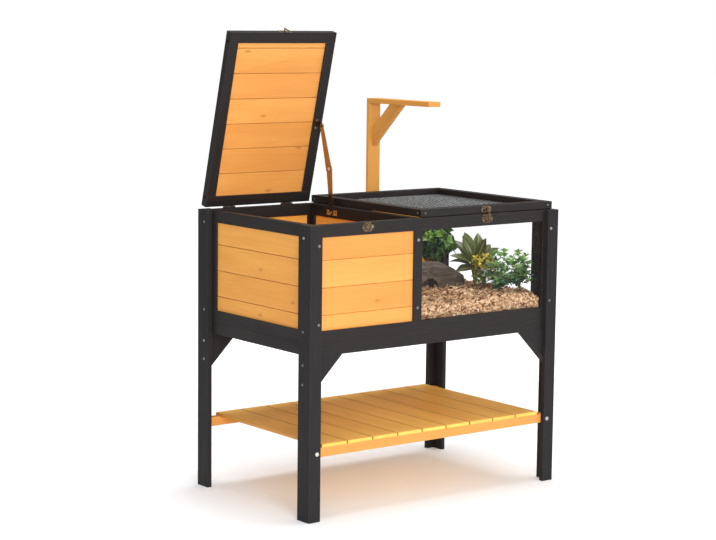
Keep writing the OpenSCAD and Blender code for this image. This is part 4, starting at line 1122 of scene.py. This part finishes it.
def grow_leafy(sizes, stems):
    """Rosettes of broad leaves on many short branches, darker deep in the crown as painted
    shade.
    """
    low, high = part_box("leafy_plant")
    middle, radius = (low + high) / 2, (high.y - low.y) / 2
    centre = np.array((middle.x, middle.y, high.z - radius))
    foot = np.array((middle.x, middle.y, low.z - ROOT_DEPTH))
    growth = Growth(3)
    rng = growth.rng
    for b in range(sizes.branches):
        level = -0.55 + 1.5 * (b + 0.5) / sizes.branches
        flat = math.sqrt(max(0.0, 1 - min(1, abs(level)) ** 2))
        tip = centre + (radius - 0.016) * around(math.tau * b * BRANCH_TURN, flat,
                                                 min(level, 1.0))
        growth.stem(stem_path(foot, tip, radius * 0.9), 0.0016, 0.0006)
    for k in range(sizes.rosettes):
        level = 1 - 1.9 * (k + 0.5) / sizes.rosettes
        out = around(math.tau * k * TUFT_TURN, math.sqrt(1 - level * level), level)
        # Painted shade: rosettes deep in the crown and low on it take the dark leaf colour,
        # outer and higher ones the pale one.
        shell = rng.uniform(0.42, 0.80)
        growth.rosette(centre + out * radius * shell,
                       out + (0, 0, 0.45) + rng.normal(0, 0.30, 3), 6,
                       sizes.leaf_length * rng.uniform(0.75, 1.1),
                       sizes.leaf_width * rng.uniform(0.85, 1.1),
                       1.6 * (shell - 0.57) + 0.14 * level + rng.normal(0, 0.28))
    growth.finish("leafy_plant", leaf_finish(
        "leafy_leaves", sizes.pale_leaf, sizes.dark_leaf, sizes.vein, veins=7.0, midrib=0.09), stems,
        "leafy_plant")


def grow_croton(sizes, stems):
    """Broad marked leaves on bare stalks, with a low yellow sprig at the right."""
    low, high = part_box("croton_plant")
    foot = np.array((*((low + high) / 2)[:2], low.z - ROOT_DEPTH))
    tall = high.z - low.z
    growth = Growth(8)
    rng = growth.rng
    for b in range(sizes.leaves):
        t = (b + 0.5) / sizes.leaves
        a = math.tau * b * BRANCH_TURN + 0.4
        tilt = 0.05 + 1.25 * t
        ahead = around(a, math.cos(tilt), math.sin(tilt)) + rng.normal(0, 0.10, 3)
        start = foot + around(a, 0.012, tall * (0.30 + 0.24 * t))
        growth.stem(stem_path(foot, start, 0.012), 0.0020, 0.0014)
        growth.leaf(start, ahead, np.array((-0.45, -0.75, 0.9)) + rng.normal(0, 0.35, 3),
                    sizes.leaf_length * rng.uniform(0.72, 1.06),
                    sizes.leaf_width * rng.uniform(0.82, 1.1),
                    min(1.0, max(0.0, -0.1 + 1.05 * t + rng.normal(0, 0.12))), fold=0.30,
                    droop=rng.uniform(0.35, 0.95), belly=0.95)
    growth.finish("croton_plant", leaf_finish(
        "croton_leaves", sizes.pale_leaf, sizes.dark_leaf, sizes.vein, veins=9.0, midrib=0.18,
        rim=0.34, patches=0.25), stems, "croton_plant")
    sprig = Growth(21)
    root = foot + (0.006, -0.036, 0)
    for b in range(sizes.sprig_tufts):
        a = math.tau * b * BRANCH_TURN
        level = (b + 0.5) / sizes.sprig_tufts
        tip = root + around(a, 1.0, 0.020 + 0.080 * level) * (0.030, 0.018, 1.0)
        sprig.stem(stem_path(root, tip, 0.02), 0.0012, 0.0006)
        sprig.rosette(tip, around(a, 0.5, 1.0) + (0, -0.3, 0), 6, 0.0200, 0.0100,
                      level - 0.05, opening=1.3)
    sprig.finish("croton_yellow_sprig", leaf_finish(
        "yellow_leaves", sizes.yellow, SPRIG_SHADE, SPRIG_VEIN, veins=6.0, midrib=0.12),
        stems, "croton_plant")


def grow_small_leaves(sizes, stems):
    """Two fine plants: thin stems with whorls of small leaves, the nearer one bare below."""
    low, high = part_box("small_leaf_plant")
    radius = (high.y - low.y) / 2
    growth = Growth(14)
    rng = growth.rng
    for side, x in enumerate((low.x + radius, high.x - radius)):
        foot = np.array((x, (low.y + high.y) / 2, low.z - ROOT_DEPTH))
        for b in range(sizes.branches):
            height = 0.22 + 0.78 * ((b + 0.5) / sizes.branches) ** 0.8
            flat = math.sqrt(1.15 - height ** 2) * rng.uniform(0.7, 1.0)
            tip = foot + around(math.tau * (b * BRANCH_TURN + side * 0.3), flat * radius,
                                (high.z - foot[2] - 0.012 - side * 0.010) * height)
            path = stem_path(foot, tip, radius * 0.75)
            growth.stem(path, 0.0010, 0.0005)
            bare = 0.20 + 0.25 * side
            for w in range(sizes.whorls):
                t = bare + (1 - bare) * (w + 1) / sizes.whorls
                spot = min(t * (len(path) - 1), len(path) - 1.001)
                i = int(spot)
                along = path[i + 1] - path[i]
                last = w == sizes.whorls - 1
                growth.rosette(path[i] + along * (spot - i), along + (0, 0, 0.004),
                               6 if last else 4, sizes.leaf_length * (0.75 + 0.25 * t),
                               sizes.leaf_width * (0.75 + 0.25 * t),
                               0.80 * t * height - 0.06 + rng.normal(0, 0.16),
                               opening=0.95 if last else 1.25, droop=0.5, belly=1.05)
    growth.finish("small_leaf_plant", leaf_finish(
        "small_leaves", sizes.pale_leaf, sizes.dark_leaf, sizes.vein, veins=4.0, midrib=0.12), stems,
        "small_leaf_plant")


# ---- Screws ------------------------------------------------------------------

HEAD_SIDES = 24
HEAD_TURN = 1.7         # from one head's recess to the next one's
SAME_PLACE = 0.00001    # heights and radii nearer than this are one
# A round head's outline from its seat to its crown: radius and height
HEAD_RINGS = ((1.0, 0.0), (1.0, 0.34), (0.95, 0.52), (0.84, 0.74), (0.66, 0.90),
              (0.50, 0.97))
# How far a recess narrows, and how high its floor lies
RECESS_TAPER, RECESS_FLOOR = 0.72, 0.42


def ring_of(verts):
    """Each vert of a closed ring with the next one."""
    return list(zip(verts, verts[1:] + verts[:1]))


def head_with_recess(recess):
    """A round screw head of radius 1 and height 1, with a recess in its top."""
    made = bmesh.new()
    loops = [[made.verts.new(around(math.tau * k / HEAD_SIDES, radius, height))
              for k in range(HEAD_SIDES)] for radius, height in HEAD_RINGS]
    for lower, upper in zip(loops, loops[1:]):
        for (a, b), (c, d) in zip(ring_of(lower), ring_of(upper)):
            made.faces.new((a, b, d, c)).smooth = True
    made.faces.new(loops[0][::-1])
    rim = [made.verts.new((x, y, 1.0)) for x, y in recess]
    edges = [made.edges.get(pair) or made.edges.new(pair)
             for pair in ring_of(loops[-1]) + ring_of(rim)]
    bmesh.ops.triangle_fill(made, use_beauty=True, edges=edges)
    for face in [f for f in made.faces
                 if len(f.verts) == 3 and all(v in rim for v in f.verts)]:
        made.faces.remove(face)
    floor = [made.verts.new((v.co.x * RECESS_TAPER, v.co.y * RECESS_TAPER, RECESS_FLOOR))
             for v in rim]
    for (a, b), (c, d) in zip(ring_of(rim), ring_of(floor)):
        made.faces.new((a, b, d, c))
    made.faces.new(floor)
    bmesh.ops.recalc_face_normals(made, faces=made.faces)
    bmesh.ops.triangulate(made, faces=made.faces)
    made.verts.index_update()
    points = np.array([v.co[:] for v in made.verts])
    faces = np.array([[v.index for v in f.verts] for f in made.faces])
    made.free()
    return points, faces


def cross_outline(reach=0.46, half=0.11):
    """The twelve corners of a cross recess."""
    return [(half, half), (half, reach), (-half, reach), (-half, half), (-reach, half),
            (-reach, -half), (-half, -half), (-half, -reach), (half, -reach),
            (half, -half), (reach, -half), (reach, half)]


def hex_outline(reach=0.45):
    """The six corners of a hexagon recess."""
    return [around(math.tau * k / 6, reach)[:2] for k in range(6)]


def heads_of(node):
    """Centre of the seat, outward direction, radius and height of each head."""
    source = bmesh.new()
    source.from_mesh(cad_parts[node].data)
    bmesh.ops.remove_doubles(source, verts=source.verts, dist=SAME_PLACE)
    middle = np.array(sum(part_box(node), Vector()) / 2)
    seen, found = set(), []
    for first in source.verts:
        if first in seen:
            continue
        seen.add(first)
        island = [first]
        for vert in island:
            for other in (edge.other_vert(vert) for edge in vert.link_edges):
                if other not in seen:
                    seen.add(other)
                    island.append(other)
        points = np.array([v.co[:] for v in island])
        centre = (points.max(0) + points.min(0)) / 2
        axis = np.linalg.svd(points - points.mean(0))[2][2]
        depth = (points - centre) @ axis
        radial = np.linalg.norm(points - centre - np.outer(depth, axis), axis=1)
        upper = radial[depth > depth.max() - SAME_PLACE].min()
        lower = radial[depth < depth.min() + SAME_PLACE].min()
        if abs(upper - lower) < SAME_PLACE:
            flip = axis @ (centre - middle) < 0
        else:
            flip = upper > lower
        if flip:
            axis, depth = -axis, -depth
        found.append((centre + axis * depth.min(), axis, radial.max(),
                      depth.max() - depth.min()))
    source.free()
    return found


def set_screws(node, body, recess, material):
    """Detailed heads in the places of a node's plain ones."""
    shape, one = head_with_recess(recess)
    rng = np.random.default_rng(len(node))
    heads, tones = [], []
    for n, (seat, axis, radius, tall) in enumerate(heads_of(node)):
        turn = np.array(Vector(axis).to_track_quat("Z", "Y").to_matrix()
                        @ Matrix.Rotation(n * HEAD_TURN, 3, "Z"))
        heads.append(((shape * (radius, radius, tall)) @ turn.T + seat, one))
        tones += [rng.uniform(0, 1)] * len(shape)
    mesh = mesh_of(node + "_heads", *joined(heads), tones, smooth=False)
    piece(node + "_heads", mesh, material, node, body)


# ---- Operators ---------------------------------------------------------------

FRAME_GLOSS, LEG_GLOSS = 0.17, 0.07
BOARD_ARRIS = 0.4       # a thin board's arris against a rail's
LID_JOINT = 0.76477     # where a joint lies along the open lid's boards
FLOOR_SIDES, FLOOR_REACH = 48, 40.0
CAMERA_PLACE = (-3.58795, -4.56643, 1.40887)
CAMERA_YAW, CAMERA_PITCH, CAMERA_ROLL = 0.6558546, -0.1307005, 0.0120850


class TERRARIUM_OT_effects(Operator):
    """Build the shader effects that the finishes share"""

    bl_idname = "terrarium.effects"
    bl_label = "Shared effects"

    def execute(self, context):
        for build in SHARED_EFFECTS:
            build()
        return {"FINISHED"}


class TERRARIUM_OT_frames(Operator):
    """Paint the legs, aprons, wall frames and lid frames black"""

    bl_idname = "terrarium.frames"
    bl_label = "Black frames"

    def execute(self, context):
        sizes = context.scene.terrarium_timber
        frames, legs = (sizes.paint, FRAME_GLOSS), (sizes.leg_paint, LEG_GLOSS)
        for name, grain, across, coat, nodes in (
                ("along_x", ALONG_X, ALONG_Z, frames,
                 "front_rails back_rails apron_front apron_back mesh_lid_rails "
                 "left_lid_rails"),
                ("along_y", ALONG_Y, ALONG_Z, frames,
                 "left_rails right_rails apron_sides divider_rails mesh_lid_stiles"),
                ("upright", ALONG_Z, ALONG_X, frames,
                 "front_stiles left_stiles right_stiles back_stiles divider_stiles"),
                ("on_lid", UP_LID, ALONG_X, frames, "left_lid_stiles"),
                ("on_legs", ALONG_Z, ALONG_X, legs,
                 "leg_face_boards leg_side_boards leg_gussets")):
            clothe(nodes.split(), black_paint("black_paint_" + name, sizes, grain, across,
                                              *coat), sizes.arris)
        return {"FINISHED"}


class TERRARIUM_OT_boards(Operator):
    """Stain the boards of the walls, the divider and the lid"""

    bl_idname = "terrarium.boards"
    bl_label = "Pine boards"

    def execute(self, context):
        sizes = context.scene.terrarium_timber
        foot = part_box("front_rails")[0].z
        # The left wall, the back and the divider take brighter copies of the stain as
        # painted light.
        for wall, pine, knots, grain, across, first, panel, joint in (
                ("front", sizes.pine, 0.16, ALONG_X, ALONG_Z, foot, 1, 0.0013),
                ("left", sizes.left_pine_painted_light, 0.36, ALONG_Y, ALONG_Z, foot, 2, 0.0026),
                ("back", sizes.inner_pine_painted_light, 0.20, ALONG_X, ALONG_Z, foot, 3, 0.0026),
                ("divider", sizes.inner_pine_painted_light, 0.20, ALONG_Y, ALONG_Z, foot, 4, 0.0026),
                ("left_lid", sizes.pine, 0.42, ALONG_X, UP_LID, LID_JOINT, 6, 0.0026)):
            planks = wall + "_planks"
            clothe([planks], stained_pine(
                "pine_" + planks, sizes, pine, knots, grain, across, sizes.board_pitch,
                first, panel, joint), sizes.arris * BOARD_ARRIS)
        return {"FINISHED"}


class TERRARIUM_OT_shelf(Operator):
    """Stain the shelf's slats and rails, and finish the plywood floor"""

    bl_idname = "terrarium.shelf"
    bl_label = "Shelf and floor"

    def execute(self, context):
        sizes = context.scene.terrarium_timber
        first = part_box("shelf_slats")[0].x - 0.0017
        clothe(["shelf_slats"], stained_pine(
            # Painted light: the slats take a brighter copy of the stain.
            "pine_shelf_slats", sizes, sizes.shelf_pine_painted_light, 0.04, ALONG_Y, ALONG_X,
            # Painted shade: the slats' wide dark joint darkens each slat's edges as if shade
            # lay in the gap between slats.
            pitch=sizes.slat_pitch, first=first, panel=11, joint=0.0066), sizes.arris)
        clothe(["shelf_rails"], stained_pine(
            "pine_shelf_rails", sizes, sizes.pine, 0.05, ALONG_X, ALONG_Z), sizes.arris)
        clothe(["floor_battens"], stained_pine(
            "pine_battens", sizes, sizes.pine, sizes.knots, ALONG_Y, ALONG_X), sizes.arris)
        clothe(["floor_panel"], plywood(sizes), sizes.arris * 0.5)
        return {"FINISHED"}


class TERRARIUM_OT_lamp_holder(Operator):
    """Stain the lamp holder's post, arm, brace and spacers"""

    bl_idname = "terrarium.lamp_holder"
    bl_label = "Lamp holder"

    def execute(self, context):
        sizes = context.scene.terrarium_timber
        for node, grain in (("lamp_post", ALONG_Z), ("lamp_spacers", ALONG_Z),
                            ("lamp_arm", ALONG_Y), ("lamp_brace", ALONG_BRACE)):
            clothe([node], stained_pine("pine_" + node, sizes, sizes.lamp_pine, 0.04,
                                        grain, ALONG_X), sizes.arris)
        return {"FINISHED"}


class TERRARIUM_OT_windows(Operator):
    """Glaze the front and right windows"""

    bl_idname = "terrarium.windows"
    bl_label = "Windows"

    def execute(self, context):
        clothe(["front_window", "right_window"],
               clear_pane(context.scene.terrarium_glazing))
        return {"FINISHED"}


class TERRARIUM_OT_fittings(Operator):
    """Finish the wire mesh, the hinges, the lid stay and the latches"""

    bl_idname = "terrarium.fittings"
    bl_label = "Metal fittings"

    def execute(self, context):
        sizes = context.scene.terrarium_metal
        clothe(["wire_mesh"], galvanised_wire(sizes))
        clothe(["stay_lower_link", "stay_upper_link"], aged_and_shaded_stay(sizes), sizes.edge)
        clothe(["stay_base_bracket"], worn_metal(
            "bright_brass", BRIGHT_BRASS, sizes.tarnish_and_shade, share_dark=0.1, rough=0.32,
            metallic=0.9, mottle=300.0), sizes.edge)
        clothe(["cabinet_hinge_leaves", "left_lid_hinge_leaves", "mesh_lid_hinge_leaves",
                "hinge_pins", "stay_lid_bracket"], worn_metal(
                    "dark_brass", sizes.bronze, sizes.tarnish_and_shade, share_dark=0.5, rough=0.42,
                    metallic=0.85, mottle=350.0), sizes.edge)
        latches = cast_latch(sizes)
        for part in ("keeper", "plate", "hook"):
            clothe(["left_latch_" + part, "mesh_latch_" + part], latches, sizes.edge)
        return {"FINISHED"}


class TERRARIUM_OT_screws(Operator):
    """Set screw heads with cross recesses, and shelf bolts with hexagon sockets"""

    bl_idname = "terrarium.screws"
    bl_label = "Screws and bolts"

    def execute(self, context):
        sizes = context.scene.terrarium_metal
        zinc = screw_plating("zinc_plate", sizes.zinc, sizes.dull_zinc)
        for body in ("cabinet", "left_lid", "mesh_lid"):
            set_screws(body + "_screws", body, cross_outline(), zinc)
        set_screws("shelf_bolts", "cabinet", hex_outline(),
                   screw_plating("bright_plate", sizes.nickel, sizes.zinc))
        return {"FINISHED"}


class TERRARIUM_OT_bedding(Operator):
    """Lay the packed bedding and its loose chips"""

    bl_idname = "terrarium.bedding"
    bl_label = "Bedding"

    def execute(self, context):
        lay_bedding(context.scene.terrarium_bedding)
        return {"FINISHED"}


class TERRARIUM_OT_rock(Operator):
    """Shape the rock hide"""

    bl_idname = "terrarium.rock"
    bl_label = "Rock hide"

    def execute(self, context):
        shape_rock(context.scene.terrarium_rock)
        return {"FINISHED"}


class TERRARIUM_OT_plants(Operator):
    """Grow the leafy plant, the croton and the small-leaf plants"""

    bl_idname = "terrarium.plants"
    bl_label = "Plants"

    def execute(self, context):
        stems = stem_finish()
        grow_leafy(context.scene.terrarium_leafy, stems)
        grow_croton(context.scene.terrarium_croton, stems)
        grow_small_leaves(context.scene.terrarium_small_leaf, stems)
        return {"FINISHED"}


class TERRARIUM_OT_stage(Operator):
    """Set the floor, the lamps and the camera"""

    bl_idname = "terrarium.stage"
    bl_label = "Studio"

    def execute(self, context):
        scene, sizes = context.scene, context.scene.terrarium_studio

        def stand(name, data):
            """Stands something new in the studio."""
            made = bpy.data.objects.new(name, data)
            scene.collection.objects.link(made)
            return made

        mesh = bpy.data.meshes.new("studio_floor")
        mesh.from_pydata([around(math.tau * k / FLOOR_SIDES, FLOOR_REACH)
                          for k in range(FLOOR_SIDES)], [], [tuple(range(FLOOR_SIDES))])
        mesh.materials.append(studio_floor(sizes))
        floor = stand("studio_floor", mesh)

        scene.world = bpy.data.worlds.new("white_room")
        scene.world.use_nodes = True
        tree = scene.world.node_tree
        ways = put(tree, "TexCoord")["Generated"].parts()
        side = ways[0].rise(-0.9, 0.1, sizes.dim_side, 1.0)
        back = ways[1].rise(-0.20, 0.30, 1.0, sizes.dim_back)
        low = ways[2].rise(0.08, 0.40, sizes.skirt, 1.0)
        seen = put(tree, "LightPath")["Is Camera Ray"]
        wire_up(tree.nodes["Background"], {
            "Color": (1.0, 1.0, 1.0, 1.0),
            "Strength": reckon("MAXIMUM", seen, side * back * low * sizes.sky)})

        for name, place, aim, power, width in (
                ("key_lamp", (-2.4, -3.9, 3.8), (0.0, -0.1, 0.6), sizes.key, 3.4),
                ("low_lamp", (-2.1, -3.5, 1.4), (0.0, 0.0, 0.3), sizes.low, 1.8),
                ("top_lamp", (0.3, 0.3, 4.4), (0.0, 0.0, 0.4), sizes.top, 2.2)):
            lamp = bpy.data.lights.new(name, "AREA")
            lamp.energy, lamp.size = power, width
            made = stand(name, lamp)
            made.location = place
            made.rotation_mode = "QUATERNION"
            made.rotation_quaternion = (Vector(aim) - made.location).to_track_quat(
                "-Z", "Y")

        lens = bpy.data.cameras.new("studio_camera")
        lens.sensor_width, lens.lens = 36.0, sizes.lens * 1000.0
        scene.camera = stand("studio_camera", lens)
        scene.camera.matrix_world = (
            Matrix.Translation(CAMERA_PLACE)
            @ Matrix.Rotation(-CAMERA_YAW, 4, "Z")
            @ Matrix.Rotation(math.pi / 2 + CAMERA_PITCH, 4, "X")
            @ Matrix.Rotation(CAMERA_ROLL, 4, "Z"))
        scene.view_settings.view_transform = "Standard"
        return {"FINISHED"}


class TERRARIUM_PT_sidebar(Panel):
    """Lists the terrarium's steps and their sizes"""

    bl_idname = "TERRARIUM_PT_sidebar"
    bl_label = "Terrarium"
    bl_space_type = "VIEW_3D"
    bl_region_type = "UI"
    bl_category = "Terrarium"

    def draw(self, context):
        for step in STEPS:
            self.layout.operator(step.bl_idname)
        for name, group in SETTINGS.items():
            box = self.layout.box()
            box.label(text=group.__doc__)
            values = getattr(context.scene, name)
            for field in group.__annotations__:
                box.prop(values, field)


STEPS = (TERRARIUM_OT_effects, TERRARIUM_OT_stage, TERRARIUM_OT_frames,
         TERRARIUM_OT_boards, TERRARIUM_OT_shelf, TERRARIUM_OT_lamp_holder,
         TERRARIUM_OT_windows, TERRARIUM_OT_fittings, TERRARIUM_OT_screws,
         TERRARIUM_OT_bedding, TERRARIUM_OT_rock, TERRARIUM_OT_plants)
SETTINGS = {
    "terrarium_timber": TimberFinish, "terrarium_metal": MetalFinish,
    "terrarium_glazing": Glazing, "terrarium_bedding": BeddingLayer,
    "terrarium_rock": RockHide, "terrarium_leafy": LeafyPlant,
    "terrarium_croton": CrotonPlant, "terrarium_small_leaf": SmallLeafPlant,
    "terrarium_studio": Studio}


def register():
    """Adds the settings, the steps and the panel."""
    for group in (*SETTINGS.values(), *STEPS, TERRARIUM_PT_sidebar):
        bpy.utils.register_class(group)
    for name, group in SETTINGS.items():
        setattr(bpy.types.Scene, name, PointerProperty(type=group))


def unregister():
    """Takes them away again."""
    for name in SETTINGS:
        delattr(bpy.types.Scene, name)
    for group in (TERRARIUM_PT_sidebar, *reversed(STEPS), *reversed(SETTINGS.values())):
        bpy.utils.unregister_class(group)


def main():
    """Runs every step in order."""
    register()
    for step in STEPS:
        family, name = step.bl_idname.split(".")
        getattr(getattr(bpy.ops, family), name)()


if __name__ == "__main__":
    main()
